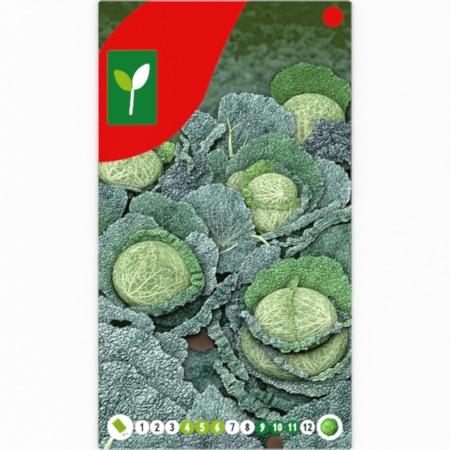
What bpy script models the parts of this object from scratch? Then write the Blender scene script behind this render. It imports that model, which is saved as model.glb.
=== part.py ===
"""A filled seed packet lying on its back: a folded and gummed paper envelope, a foil sachet in it, and seeds.

The frame is metres, +Z up. X runs across the packet, +Y towards its top edge, and the printed front faces +Z.
The origin is under the middle of the packet, on the surface that it lies on.
"""

import math
import random

import bpy

MM = 0.001

# The packet, as folded and glued
PACKET_WIDTH = 90.0 * MM
PACKET_HEIGHT = 160.0 * MM
PAPER = 0.16 * MM
LAYER_GAP = 0.12 * MM
EDGE_ROOM = 0.3 * MM
SEAM_OVERLAP = 12.0 * MM
TOP_FLAP = 24.0 * MM
BOTTOM_FLAP = 16.0 * MM
FLAP_TAPER = 6.0 * MM
WING_TAPER = 2.0 * MM
CORNER_NICK = 0.9 * MM
FOLD_STEPS = 8

# The gum that closes it: a strip in the lap of the back seam and one under each end flap
GUM = 0.06 * MM
SEAM_GUM_WIDTH = 7.0 * MM
SEAM_GUM_LENGTH = 146.0 * MM
FLAP_GUM_HEIGHT = 7.0 * MM
FLAP_GUM_WIDTH = 70.0 * MM
FLAP_GUM_MARGIN = 3.0 * MM

# The foil sachet in it, sealed on four sides, with the seeds loose in its pocket
FOIL = 0.12 * MM
SACHET_WIDTH = 62.0 * MM
SACHET_HEIGHT = 88.0 * MM
SACHET_Y = -12.0 * MM
SEAL = 6.0 * MM
PIECE_GAP = 0.3 * MM

# Brassica seed
SEED_COUNT = 40
SEED_RADIUS = 1.0 * MM
SEED_SPREAD_X = 13.0 * MM
SEED_SPREAD_Y = 20.0 * MM
SEED_PITCH = 2.7 * MM

# Heights of the paper's middle surface in each layer, from the surface up: both end flaps, the right
# wing, the left wing that lies on it, and the edge of the front panel
FLAP_Z = PAPER / 2
RIGHT_WING_Z = FLAP_Z + PAPER + LAYER_GAP
LEFT_WING_Z = RIGHT_WING_Z + PAPER + LAYER_GAP
FRONT_EDGE_Z = LEFT_WING_Z + PAPER + EDGE_ROOM

# Heights of the sachet's two webs and of the seeds between them
BACK_WEB_Z = LEFT_WING_Z + PAPER / 2 + PIECE_GAP + FOIL / 2
SEAL_Z = BACK_WEB_Z + FOIL + PIECE_GAP
SEED_Z = BACK_WEB_Z + FOIL / 2 + PIECE_GAP + SEED_RADIUS
POCKET_Z = SEED_Z + SEED_RADIUS + PIECE_GAP + FOIL / 2
FRONT_TOP_Z = POCKET_Z + FOIL / 2 + PIECE_GAP + 0.1 * MM + PAPER / 2

GUM_FILM = ((0.8, 0.76, 0.6), 0.5, 0.0)
WHITE_PAPER = ((0.86, 0.86, 0.83), 0.55, 0.0)
BARE_FOIL = ((0.72, 0.73, 0.74), 0.3, 1.0)
SEED_COAT = ((0.12, 0.05, 0.03), 0.6, 0.0)


def clear_scene():
    for found in list(bpy.data.objects):
        bpy.data.objects.remove(found)


def material(name, look):
    colour, roughness, metallic = look
    made = bpy.data.materials.new(name)
    made.use_nodes = True
    shader = made.node_tree.nodes["Principled BSDF"]
    shader.inputs["Base Color"].default_value = (*colour, 1.0)
    shader.inputs["Roughness"].default_value = roughness
    shader.inputs["Metallic"].default_value = metallic
    return made


def add_object(name, points, faces, finish):
    mesh = bpy.data.meshes.new(name)
    mesh.from_pydata(points, [], faces)
    mesh.materials.append(finish)
    mesh.shade_smooth()
    made = bpy.data.objects.new(name, mesh)
    bpy.context.scene.collection.objects.link(made)
    return made


def thicken(sheet, thickness):
    solidify = sheet.modifiers.new("thickness", "SOLIDIFY")
    solidify.thickness = thickness
    solidify.offset = 0.0
    solidify.use_even_offset = True
    sheet.data.set_sharp_from_angle(angle=math.radians(40))


def spaced(low, high, count):
    return [low + (high - low) * i / (count - 1) for i in range(count)]


def rise(share):
    """A smooth step from 0 to 1 as share goes from 0 to 1."""
    share = min(1.0, max(0.0, share))
    return share * share * (3 - 2 * share)


def pillow(x, y, left, right, bottom, top, run):
    """1 over the middle of a rectangle, falling smoothly to 0 at its sides over run of each half."""
    across = min(x - left, right - x) / (run * (right - left) / 2)
    along = min((y - bottom) / (run * (SACHET_Y - bottom)), (top - y) / (run * (top - SACHET_Y)))
    return rise(across) * rise(along)


def grid_faces(rows, columns, index):
    """Quads between neighbouring points of a grid, where index gives a grid point's number."""
    return [
        (index(i, j), index(i + 1, j), index(i + 1, j + 1), index(i, j + 1))
        for j in range(rows - 1)
        for i in range(columns - 1)
    ]


def fold_profile(drop_to, reach, steps):
    """(outward, height, share) of the paper from the front panel's edge round a fold and back in.

    share runs from 0 at the fold to 1 at the free edge.
    """
    radius = (FRONT_EDGE_Z - drop_to) / 2
    middle = (FRONT_EDGE_Z + drop_to) / 2
    turn = [math.pi * i / FOLD_STEPS for i in range(1, FOLD_STEPS + 1)]
    bend = [(radius * math.sin(a), middle + radius * math.cos(a), 0.0) for a in turn]
    flat = [(-reach * i / steps, drop_to, i / steps) for i in range(1, steps + 1)]
    return bend + flat


def fold_radius(drop_to):
    return (FRONT_EDGE_Z - drop_to) / 2 + PAPER / 2


def paper_envelope():
    """One sheet cut as a cross: the front panel, two side wings that lap at the back, and two end flaps."""
    left = -PACKET_WIDTH / 2 + fold_radius(LEFT_WING_Z)
    right = PACKET_WIDTH / 2 - fold_radius(RIGHT_WING_Z)
    end = PACKET_HEIGHT / 2 - fold_radius(FLAP_Z)
    flap_half = PACKET_WIDTH / 2 - CORNER_NICK
    wing_half = PACKET_HEIGHT / 2 - CORNER_NICK
    xs = [left, *spaced(-flap_half, flap_half, 19), right]
    ys = [-end, *spaced(-wing_half, wing_half, 31), end]
    bulge = FRONT_TOP_Z - FRONT_EDGE_Z
    points = [
        (x, y, FRONT_EDGE_Z + bulge * pillow(x, y, left, right, -end, end, 0.6)) for y in ys for x in xs
    ]
    faces = grid_faces(len(ys), len(xs), lambda i, j: j * len(xs) + i)

    def add_strip(edge, profile, place, flip):
        """A wing or flap: edge lists the panel points that it is joined to."""
        base = len(points)
        for step in profile:
            points.extend(place(points[number], step) for number in edge)

        def index(i, j):
            return edge[i] if j == 0 else base + (j - 1) * len(edge) + i

        quads = grid_faces(len(profile) + 1, len(edge), index)
        faces.extend(quad[::-1] for quad in quads) if flip else faces.extend(quads)

    def wing(side, x_edge):
        def place(start, step):
            outward, height, share = step
            return (x_edge + side * outward, start[1] * (1 - share * WING_TAPER / wing_half), height)

        return place

    def flap(side):
        def place(start, step):
            outward, height, share = step
            return (start[0] * (1 - share * FLAP_TAPER / flap_half), side * (end + outward), height)

        return place

    inner_rows, inner_columns = range(1, len(ys) - 1), range(1, len(xs) - 1)
    lap = SEAM_OVERLAP / 2
    add_strip(
        [j * len(xs) for j in inner_rows], fold_profile(LEFT_WING_Z, lap - left, 8), wing(-1, left), False
    )
    add_strip(
        [(j + 1) * len(xs) - 1 for j in inner_rows],
        fold_profile(RIGHT_WING_Z, right + lap, 8),
        wing(1, right),
        True,
    )
    add_strip([i for i in inner_columns], fold_profile(FLAP_Z, BOTTOM_FLAP, 4), flap(-1), True)
    last = (len(ys) - 1) * len(xs)
    add_strip([last + i for i in inner_columns], fold_profile(FLAP_Z, TOP_FLAP, 4), flap(1), False)
    envelope = add_object("paper_envelope", points, faces, material("printed_paper", WHITE_PAPER))
    thicken(envelope, PAPER)


def gum_strip(name, finish, size, centre):
    bpy.ops.mesh.primitive_cube_add(size=1.0)
    strip = bpy.context.object
    strip.name = name
    strip.data.name = name
    for vertex in strip.data.vertices:
        vertex.co = [side * share for side, share in zip(size, vertex.co)]
    strip.location = centre
    strip.data.materials.append(finish)


def gum():
    """Dried gum, half as thick as the gap between the layers that it joins."""
    finish = material("gum", GUM_FILM)
    flap = (FLAP_GUM_WIDTH, FLAP_GUM_HEIGHT, GUM)
    inset = FLAP_GUM_MARGIN + FLAP_GUM_HEIGHT / 2
    top_y = PACKET_HEIGHT / 2 - TOP_FLAP + inset
    bottom_y = -PACKET_HEIGHT / 2 + BOTTOM_FLAP - inset
    under_wings = (FLAP_Z + RIGHT_WING_Z) / 2
    in_lap = (RIGHT_WING_Z + LEFT_WING_Z) / 2
    gum_strip("top_flap_gum", finish, flap, (0, top_y, under_wings))
    gum_strip("bottom_flap_gum", finish, flap, (0, bottom_y, under_wings))
    gum_strip("back_seam_gum", finish, (SEAM_GUM_WIDTH, SEAM_GUM_LENGTH, GUM), (0, 0, in_lap))


def foil_web(name, finish, height_at):
    xs = spaced(-SACHET_WIDTH / 2, SACHET_WIDTH / 2, 15)
    ys = spaced(SACHET_Y - SACHET_HEIGHT / 2, SACHET_Y + SACHET_HEIGHT / 2, 21)
    points = [(x, y, height_at(x, y)) for y in ys for x in xs]
    web = add_object(name, points, grid_faces(len(ys), len(xs), lambda i, j: j * len(xs) + i), finish)
    thicken(web, FOIL)


def foil_sachet():
    """Two webs of foil laminate. The front one domes over the seeds, and both are flat at the seals."""
    finish = material("foil", BARE_FOIL)
    half_width = SACHET_WIDTH / 2 - SEAL
    low = SACHET_Y - SACHET_HEIGHT / 2 + SEAL
    high = SACHET_Y + SACHET_HEIGHT / 2 - SEAL

    def dome(x, y):
        return SEAL_Z + (POCKET_Z - SEAL_Z) * pillow(x, y, -half_width, half_width, low, high, 0.4)

    foil_web("foil_sachet_back", finish, lambda x, y: BACK_WEB_Z)
    foil_web("foil_sachet_front", finish, dome)


def seed_places():
    """Places for the seeds, scattered on the back web and never nearer than SEED_PITCH."""
    draw = random.Random(12)
    places = []
    while len(places) < SEED_COUNT:
        x = draw.uniform(-1, 1)
        y = draw.uniform(-1, 1)
        spot = (x * SEED_SPREAD_X, SACHET_Y + y * SEED_SPREAD_Y)
        if x * x + y * y < 1 and all(math.dist(spot, other) > SEED_PITCH for other in places):
            places.append(spot)
    return places


def seeds():
    bpy.ops.mesh.primitive_ico_sphere_add(subdivisions=2, radius=SEED_RADIUS)
    pattern = bpy.context.object
    mesh = pattern.data
    bpy.data.objects.remove(pattern)
    mesh.name = "seed"
    mesh.materials.append(material("seed_coat", SEED_COAT))
    mesh.shade_smooth()
    draw = random.Random(5)
    for number, (x, y) in enumerate(seed_places(), 1):
        seed = bpy.data.objects.new(f"seed_{number:02d}", mesh)
        seed.location = (x, y, SEED_Z)
        seed.rotation_euler = [draw.uniform(0, math.tau) for _ in range(3)]
        bpy.context.scene.collection.objects.link(seed)


def main():
    clear_scene()
    paper_envelope()
    gum()
    foil_sachet()
    seeds()


main()
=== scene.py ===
"""Looks of a seed packet that lies on its back, with its printed front up.

The print is painted by this script: an array of points over the flat sheet holds its colours, and a fine
film of mesh on the paper carries them as a colour attribute. Lengths in the painting are in millimetres,
with the origin in the middle of the packet's front. Everything in the scene is in metres.
"""

import math
import random
from dataclasses import dataclass, replace

import bpy
import numpy as np
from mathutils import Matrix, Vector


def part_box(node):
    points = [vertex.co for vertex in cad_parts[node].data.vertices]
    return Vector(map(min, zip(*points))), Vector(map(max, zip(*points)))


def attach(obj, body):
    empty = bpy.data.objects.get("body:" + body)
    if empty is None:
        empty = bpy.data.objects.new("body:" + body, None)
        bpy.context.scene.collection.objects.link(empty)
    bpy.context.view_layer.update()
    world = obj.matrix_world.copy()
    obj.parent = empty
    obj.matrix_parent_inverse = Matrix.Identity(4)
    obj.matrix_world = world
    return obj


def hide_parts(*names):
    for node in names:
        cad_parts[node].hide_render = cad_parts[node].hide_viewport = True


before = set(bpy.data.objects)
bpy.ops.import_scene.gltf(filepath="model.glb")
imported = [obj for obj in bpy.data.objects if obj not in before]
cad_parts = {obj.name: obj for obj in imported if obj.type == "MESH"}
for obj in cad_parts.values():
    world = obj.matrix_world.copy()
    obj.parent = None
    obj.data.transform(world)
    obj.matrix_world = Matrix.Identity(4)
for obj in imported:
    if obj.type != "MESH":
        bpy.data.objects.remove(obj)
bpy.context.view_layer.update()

MM = 0.001

# The painting's grid
FINE = 0.125
HALF_W, HALF_H = 46.0, 81.0


# ---------------------------------------------------------------- noise
def hashed(ix, iy, seed):
    """A repeatable random number from 0 to 1 for each lattice point."""
    n = (ix.astype(np.int64) * 374761393 + iy.astype(np.int64) * 668265263 + seed * 2147483647) & 0xFFFFFFFF
    n = ((n ^ (n >> 13)) * 1274126177) & 0xFFFFFFFF
    n = ((n ^ (n >> 16)) * 2246822519) & 0xFFFFFFFF
    return ((n ^ (n >> 15)) & 0xFFFFFF).astype(np.float32) / 0xFFFFFF


def smooth(t):
    """A smooth step from 0 to 1 as t goes from 0 to 1."""
    t = np.clip(t, 0.0, 1.0)
    return t * t * (3 - 2 * t)


def noise(x, y, seed):
    """Smooth noise from -1 to 1."""
    fx, fy = np.floor(x), np.floor(y)
    ix, iy = fx.astype(np.int32), fy.astype(np.int32)
    tx, ty = smooth(x - fx), smooth(y - fy)
    low = hashed(ix, iy, seed) * (1 - tx) + hashed(ix + 1, iy, seed) * tx
    high = hashed(ix, iy + 1, seed) * (1 - tx) + hashed(ix + 1, iy + 1, seed) * tx
    return 2 * (low * (1 - ty) + high * ty) - 1


def clouds(x, y, seed, octaves=3):
    """Noise at several sizes, each half the one before."""
    total = 0.0
    for octave in range(octaves):
        scale = 2.0 ** octave
        total = total + noise(x * scale, y * scale, seed + octave) / scale
    return total / 1.75


def cells(x, y, seed):
    """Distances to the two nearest of points scattered one to a square, and the nearest one's number."""
    ix, iy = np.floor(x).astype(np.int32), np.floor(y).astype(np.int32)
    first = np.full(x.shape, 9.0, np.float32)
    second = first.copy()
    tag = np.zeros(x.shape, np.float32)
    for dj in (-1, 0, 1):
        for di in (-1, 0, 1):
            cx, cy = ix + di, iy + dj
            px = cx + hashed(cx, cy, seed)
            py = cy + hashed(cx, cy, seed + 71)
            d = np.hypot(x - px, y - py).astype(np.float32)
            nearer = d < first
            second = np.where(nearer, first, np.minimum(second, d))
            tag = np.where(nearer, hashed(cx, cy, seed + 7), tag)
            first = np.where(nearer, d, first)
    return first, second, tag


def blur(image, radius):
    """Three box blurs, close to a Gaussian of this radius in mm."""
    reach = max(1, int(round(radius / FINE)))
    for axis in (0, 1):
        for _ in range(3):
            pad = [(0, 0)] * image.ndim
            pad[axis] = (reach + 1, reach)
            total = np.cumsum(np.pad(image, pad, mode="edge"), axis=axis)
            size = image.shape[axis]
            window = 2 * reach + 1
            high = np.take(total, range(window, window + size), axis=axis)
            low = np.take(total, range(0, size), axis=axis)
            image = (high - low) / window
    return image


# ---------------------------------------------------------------- palettes: creases, low, high, tips
def palette(*stops):
    """Display colours, given as 0 to 255, in shares."""
    return np.array(stops, np.float32) / 255


BLUE = palette((27, 47, 42), (85, 112, 107), (138, 165, 159), (204, 222, 219))
TEAL = palette((26, 48, 36), (70, 102, 84), (112, 144, 126), (174, 200, 184))
SAGE = palette((26, 52, 36), (74, 112, 82), (112, 154, 120), (174, 208, 180))
DARK = palette((18, 36, 26), (50, 80, 66), (84, 118, 104), (126, 158, 146))
GREEN = palette((34, 64, 40), (76, 120, 76), (116, 160, 114), (178, 214, 172))
LIME = palette((52, 84, 40), (98, 138, 76), (138, 178, 110), (200, 230, 164))
MOSS = palette((40, 70, 34), (66, 104, 56), (94, 134, 82), (146, 182, 128))
PURPLE = palette((30, 42, 44), (78, 98, 100), (126, 148, 148), (190, 210, 208))
HEART = palette((70, 104, 52), (118, 154, 94), (162, 194, 134), (214, 234, 182))
SHADE_HEART = palette((44, 72, 44), (92, 126, 86), (134, 166, 122), (184, 212, 164))
CREAM = palette((236, 246, 206))[0]


def ramp(stops, tone):
    """The palette's colour at a tone from 0 to 1."""
    place = np.clip(tone, 0, 0.9999) * (len(stops) - 1)
    low = place.astype(np.int32)
    share = (place - low)[..., None]
    return stops[low] * (1 - share) + stops[low + 1] * share


# ---------------------------------------------------------------- canvas
class Canvas:
    """The painting: x and y of its columns and rows in mm, and a colour for each point."""

    def __init__(self):
        self.xs = np.arange(-HALF_W + FINE / 2, HALF_W, FINE, dtype=np.float32)
        self.ys = np.arange(-HALF_H + FINE / 2, HALF_H, FINE, dtype=np.float32)
        self.colour = np.zeros((len(self.ys), len(self.xs), 3), np.float32)

    def window(self, left, right, low, high):
        """The part of the canvas inside a rectangle, and x and y over it."""
        i0, i1 = np.searchsorted(self.xs, (left, right))
        j0, j1 = np.searchsorted(self.ys, (low, high))
        view = (slice(j0, max(j1, j0 + 2)), slice(i0, max(i1, i0 + 2)))
        x, y = np.meshgrid(self.xs[view[1]], self.ys[view[0]])
        return view, x, y

    def darken(self, view, cover, depth, spread):
        """The shade that a layer throws round itself on what lies under it."""
        down, right = int(0.45 * spread / FINE), int(0.15 * spread / FINE)
        dropped = np.pad(cover, ((0, down), (right, 0)), mode="edge")[down:, : cover.shape[1]]
        near = blur(dropped, spread * 0.3)
        far = blur(dropped, spread)
        shade = depth * (0.45 * near + 0.55 * far) * (1 - cover)
        self.colour[view] *= (1 - np.clip(shade, 0, 0.94))[..., None]

    def cover(self, view, cover, colour):
        """Lay a colour over the painting, where cover is above 0."""
        c = cover[..., None]
        self.colour[view] = self.colour[view] * (1 - c) + colour * c


# ---------------------------------------------------------------- leaves
LIGHT = np.array((-0.30, 0.60, 0.74))
LIGHT = LIGHT / np.linalg.norm(LIGHT)


def lit(height):
    """How brightly a height field in mm is lit, about 0 where it is level."""
    slope_y, slope_x = np.gradient(height, FINE)
    size = np.sqrt(1 + slope_x ** 2 + slope_y ** 2)
    return (-slope_x * LIGHT[0] - slope_y * LIGHT[1] + LIGHT[2]) / size - LIGHT[2]


def star(foot, rim, soften=6):
    """The radius of an outline round foot, as a function of the angle in degrees."""
    offsets = np.array(rim, float) - foot
    angles = np.degrees(np.arctan2(offsets[:, 1], offsets[:, 0]))
    radii = np.hypot(offsets[:, 0], offsets[:, 1])
    order = np.argsort(angles)
    angles, radii = angles[order], radii[order]
    table = np.arange(-360, 361)
    keys = np.concatenate([angles - 360, angles, angles + 360])
    values = np.interp(table, keys, np.tile(radii, 3))
    kernel = np.exp(-0.5 * (np.arange(-3 * soften, 3 * soften + 1) / soften) ** 2)
    values = np.convolve(values, kernel / kernel.sum(), mode="same")
    return lambda a: np.interp(a, table, values)


def vein_runs(look, seed, reach):
    """Short straight runs (x0, y0, x1, y1, width) of forking veins that start at the leaf's foot."""
    draw = np.random.default_rng(seed)
    runs = []

    def grow(x, y, angle, width, left, side):
        walked = draw.uniform(0.3, 0.7) * look.fork_every
        drift = draw.normal(0, 0.02)
        while left > 0 and width > 0.06:
            step = 0.9
            angle += drift + draw.normal(0, 0.05)
            nx, ny = x + step * math.cos(angle), y + step * math.sin(angle)
            runs.append((x, y, nx, ny, width))
            x, y = nx, ny
            left -= step
            walked += step
            if walked > look.fork_every:
                walked = 0.0
                branch = angle + side * draw.uniform(0.75, 1.25) * 0.62
                grow(x, y, branch, width * 0.68, left * 0.62, -side)
                angle -= side * 0.12
                side = -side
                width *= 0.9
            width *= 0.965

    for turn, strength in look.fan:
        width, length = look.vein_width * strength, reach * (0.7 + 0.3 * strength)
        grow(0.0, 0.0, math.radians(turn), width, length, draw.choice((-1, 1)))
    return runs


def vein_lines(u, v, runs):
    """Strength of the veins, 1 along their middles."""
    strongest = np.zeros(u.shape, np.float32)
    for x0, y0, x1, y1, width in runs:
        reach = 2.5 * width + 0.1
        near = (u > min(x0, x1) - reach) & (u < max(x0, x1) + reach)
        near &= (v > min(y0, y1) - reach) & (v < max(y0, y1) + reach)
        if not near.any():
            continue
        pu, pv = u[near] - x0, v[near] - y0
        dx, dy = x1 - x0, y1 - y0
        share = np.clip((pu * dx + pv * dy) / (dx * dx + dy * dy), 0, 1)
        d = np.hypot(pu - share * dx, pv - share * dy)
        value = np.exp(-(d / width) ** 2) * min(1.0, 0.35 + width * 2.4)
        strongest[near] = np.maximum(strongest[near], value)
    return strongest


# (angle in degrees, strength) of the veins that leave a leaf's foot
FAN = ((0, 1.0), (35, 0.7), (-35, 0.7), (68, 0.55), (-68, 0.55))
HEAD_FAN = ((0, 1.0), (27, 0.8), (-28, 0.85), (56, 0.7), (-58, 0.75), (86, 0.5), (-86, 0.5))


@dataclass(frozen=True)
class Look:
    """How one kind of leaf surface is painted. Lengths are in mm, and tones and strengths are shares."""

    stops: np.ndarray
    blister: float = 1.2
    stretch: float = 1.0
    relief: float = 0.3
    tone: float = 0.5
    contrast: float = 1.0
    # change of tone at the leaf's foot and at its rim
    foot: float = -0.12
    rim: float = 0.1
    # strength of the forking veins, and of the net that a head's leaf has in place of blisters
    veins: float = 0.0
    net: float = 0.0
    vein_width: float = 0.35
    fork_every: float = 3.4
    fan: tuple = FAN
    # depth and length of the rim's waves, height of the broad folds, and of the rim's roll
    frill: float = 0.35
    frill_size: float = 2.2
    folds: float = 0.5
    roll: float = 0.0
    crease: float = 0.24
    soft: float = 0.0
    # another palette, and a function of (u, v, share of the reach, depth inside) that says where it shows
    second: tuple = None

    def but(self, **changes):
        return replace(self, **changes)


def frilled(look, u, v, run, inside, seed):
    """The depth inside an outline once its rim has waves and a fine ragged edge."""
    level = np.zeros_like(u)
    return inside + look.frill * (
        0.9 * noise(run / look.frill_size / 1.9 + 40, level + seed, seed)
        + 0.6 * noise(run / look.frill_size * 1.4, level + 3.7, seed + 5)
        + 0.75 * noise(u / 0.75, v / 0.75, seed + 3)
    )


def blister_place(look, u, v, seed):
    """Where a point lies in the warped lattice of the blisters."""
    warp, tremble = HEAD_WARP if look.net > 0 else LEAF_WARP
    along = u / (look.blister * look.stretch) + warp * noise(u / 3.1, v / 3.1, seed + 11)
    across = v / look.blister + warp * noise(u / 3.3, v / 2.9, seed + 12)
    fine_along = tremble * noise(u / 0.9, v / 0.9, seed + 15)
    fine_across = tremble * noise(u / 0.9, v / 0.9, seed + 16)
    return along + fine_along, across + fine_across


def head_surface(look, gap, small_gap, patch, vein):
    """A head's leaf: a raised net of veins round sunken panels. Strength of the veins, and height."""
    wide = 1 - smooth((gap - 0.05) / (0.34 / look.blister))
    thin = 1 - smooth((small_gap - 0.02) / (0.4 / look.blister))
    patchy = np.clip(0.9 + 0.35 * patch, 0.55, 1)
    veins = np.maximum(vein, np.maximum(0.76 * wide * patchy, 0.4 * thin * patchy))
    return veins, look.relief * (0.32 * veins + 0.16 * smooth(small_gap / 0.6))


def leaf_surface(look, along, across, big, small, rough, vein, seed):
    """The height of an open leaf: blisters in blisters, a crinkled skin and veins pressed into it."""
    crinkle = 1 - np.abs(noise(along * 1.3, across * 1.3, seed + 17))
    crinkle = crinkle - 0.6 * np.abs(noise(along * 2.9, across * 2.9, seed + 18))
    skin = look.blister * (0.55 * big + 0.3 * small) + 0.34 * rough + 0.4 * crinkle
    return look.relief * skin - 0.08 * vein


def waves(look, run, away, depth, reach, seed):
    """The height of the rim's ripples, of the broad folds and of the roll of the rim."""
    ripple = noise(run / (0.5 * look.frill_size), np.full_like(run, 1.5), seed + 9) * np.exp(-depth / 2.4)
    fold = noise(run / 5.5, away / 9, seed + 14) * smooth(away / max(reach, 1) * 1.5)
    height = 0.5 * look.frill * ripple + 0.9 * look.folds * fold
    if look.roll > 0:
        height = height - look.roll ** 2 * np.exp(-depth / (0.55 * look.roll + 0.3))
    return height


def paint_leaf(canvas, view, u, v, inside, reach, look, seed, form=0.0, depth=0.85, spread=1.9, lift=0.0):
    """One leaf: u runs up it and v across it in mm, and inside is how far in from its outline a point is.

    form is its height before its surface, depth and spread are those of the shade it throws, and lift
    brightens it.
    """
    run = np.arctan2(v, u) * reach
    inside = frilled(look, u, v, run, inside, seed)
    cover = np.clip(inside / (FINE * 2.0) + 0.5, 0, 1).astype(np.float32)
    if cover.max() <= 0:
        return
    inside = np.maximum(inside, 0)
    away = np.hypot(u, v)

    along, across = blister_place(look, u, v, seed)
    nearest, next_nearest, tag = cells(along, across, seed)
    gap = next_nearest - nearest
    nearest, next_nearest, small_tag = cells(along * 2.1 + 7, across * 2.1, seed + 31)
    small_gap = next_nearest - nearest
    big, small = smooth(gap / 0.62), smooth(small_gap / 0.6)
    patch = clouds(u / 4.5, v / 4.5, seed + 50)
    vein = np.zeros_like(u)
    if look.veins > 0:
        vein = vein_lines(u, v, vein_runs(look, seed, reach))
    if look.net > 0:
        vein, height = head_surface(look, gap, small_gap, patch, vein)
    else:
        rough = clouds(u * 1.9, v * 1.9, seed + 21)
        height = leaf_surface(look, along, across, big, small, rough, vein, seed)
    height = height + waves(look, run, away, inside, reach, seed) + form
    if look.soft > 0:
        height = blur(height, look.soft)

    light = lit(height)
    share = np.clip(away / max(reach, 1e-3), 0, 1.2)
    tone = look.tone + 0.8 * look.contrast * light + look.foot * (1 - smooth(share * 1.6))
    tone = tone + look.rim * (0.6 * np.exp(-inside / 2.4) + 0.7 * np.exp(-inside / 0.5))
    tone = tone + 0.12 * look.contrast * (tag - 0.5) + 0.1 * (small_tag - 0.5) + 0.16 * patch + lift
    tone = tone + 0.11 * look.contrast * noise(u * 2.6, v * 2.6, seed + 19)
    if look.net > 0:
        gain = 1.0
        amount = look.net * np.clip(vein, 0, 1)
        bright = np.clip(0.99 + 0.7 * light + 0.8 * lift, 0.45, 1.1)
    else:
        gain = LEAF_GAIN
        amount = look.veins * vein
        bright = np.clip(0.86 + 0.5 * light, 0.5, 1.05)
        creases = 0.9 * (1 - big) ** 2 + 0.5 * (1 - small) ** 2 - 0.25
        tone = tone - look.crease * look.contrast * creases
        tone = tone + 0.5 * look.contrast * np.clip(light - 0.08, 0, 0.3)
        tone = tone + 0.1 * noise(u * 4.1, v * 4.1, seed + 23)
    colour = gain * ramp(look.stops, tone)
    if look.second is not None:
        other, where = look.second
        mix = smooth(where(u, v, share, inside))[..., None]
        colour = colour * (1 - mix) + gain * ramp(other, tone) * mix
    amount = amount[..., None]
    colour = colour * (1 - amount) + CREAM * bright[..., None] * amount
    if look.soft > 0:
        colour, cover = blur(colour, look.soft), blur(cover, look.soft)
    canvas.darken(view, cover, depth, spread)
    canvas.cover(view, cover, np.clip(colour, 0, 1))


# Room round a leaf for its shade, how much the blisters' lattice is bent and trembles, and how much
# brighter than its palette an open leaf is
MARGIN = 5.0
HEAD_WARP = (0.35, 0.1)
LEAF_WARP = (0.6, 0.22)
LEAF_GAIN = 1.22
DOME_HEIGHT = 0.21
CROSS_WAVE = 0.3


def leaf(canvas, look, seed, foot, rim, heading=90, bend=0.0, **more):
    """A leaf seen flat on, growing from foot, with its outline through the rim points."""
    reach = max(math.dist(foot, point) for point in rim)
    (left, low), (right, high) = np.min(rim, 0) - MARGIN, np.max(rim, 0) + MARGIN
    view, x, y = canvas.window(left, right, low, high)
    turn = math.radians(heading)
    dx, dy = x - foot[0], y - foot[1]
    u = dx * math.cos(turn) + dy * math.sin(turn)
    v = -dx * math.sin(turn) + dy * math.cos(turn)
    inside = star(foot, rim)(np.degrees(np.arctan2(dy, dx))) - np.hypot(dx, dy)
    paint_leaf(canvas, view, u, v - bend * u * u / max(reach, 1), inside, reach, look, seed, **more)


def dome(canvas, look, seed, centre, radii, foot, cut=None, **more):
    """A leaf wrapped over a head: foot is its base in shares of the head's radii, and cut its outline."""
    rx, ry = radii
    left, low = centre[0] - rx - MARGIN, centre[1] - ry - MARGIN
    view, x, y = canvas.window(left, centre[0] + rx + MARGIN, low, centre[1] + ry + MARGIN)
    p, q = (x - centre[0]) / rx, (y - centre[1]) / ry
    flat = np.hypot(p, q)
    z = np.sqrt(np.clip(1 - flat ** 2, 0.0, 1))
    limit = np.maximum(flat, 1)
    base = np.array([foot[0], foot[1], math.sqrt(max(0.0, 1 - foot[0] ** 2 - foot[1] ** 2))])
    base /= np.linalg.norm(base)
    up = np.array([0, 0, 1.0]) - base * base[2]
    up /= np.linalg.norm(up)
    side = np.cross(base, up)
    # distance from the base over the ball, and the two directions there
    d = np.arccos(np.clip((p * base[0] + q * base[1]) / limit + z * base[2], -1, 1))
    along = (p * up[0] + q * up[1]) / limit + z * up[2]
    across = (p * side[0] + q * side[1]) / limit + z * side[2]
    size = np.maximum(np.hypot(along, across), 1e-6)
    mean = math.sqrt(rx * ry)
    u, v = d * mean * along / size, d * mean * across / size
    inside = (1 - flat) * min(rx, ry)
    if cut is not None:
        middle, edge = cut
        dx, dy = x - middle[0], y - middle[1]
        kept = star(middle, edge)(np.degrees(np.arctan2(dy, dx))) - np.hypot(dx, dy)
        inside = np.minimum(inside, kept)
    form = DOME_HEIGHT * mean * np.sqrt(np.clip(1.06 - np.minimum(flat, 1) ** 2, 0.06, 1))
    under = smooth((flat - 0.82) / 0.22) * (1 - 0.6 * smooth(q + 0.4))
    lift = 0.1 - 0.2 * under - 0.08 * smooth(-q)
    paint_leaf(canvas, view, u, v, inside, 2.2 * mean, look, seed, form=form, lift=lift, **more)


def through(values, where):
    """A Catmull-Rom curve through the values."""
    padded = np.concatenate([[2 * values[0] - values[1]], values, [2 * values[-1] - values[-2]]])
    place = np.clip(where, 0, 1) * (len(values) - 1)
    k = np.minimum(place.astype(int), len(values) - 2)
    t = place - k
    a, b, c, d = padded[k], padded[k + 1], padded[k + 2], padded[k + 3]
    bend, twist = 2 * a - 5 * b + 4 * c - d, 3 * b - a - 3 * c + d
    return 0.5 * (2 * b + (c - a) * t + bend * t ** 2 + twist * t ** 3)


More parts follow.
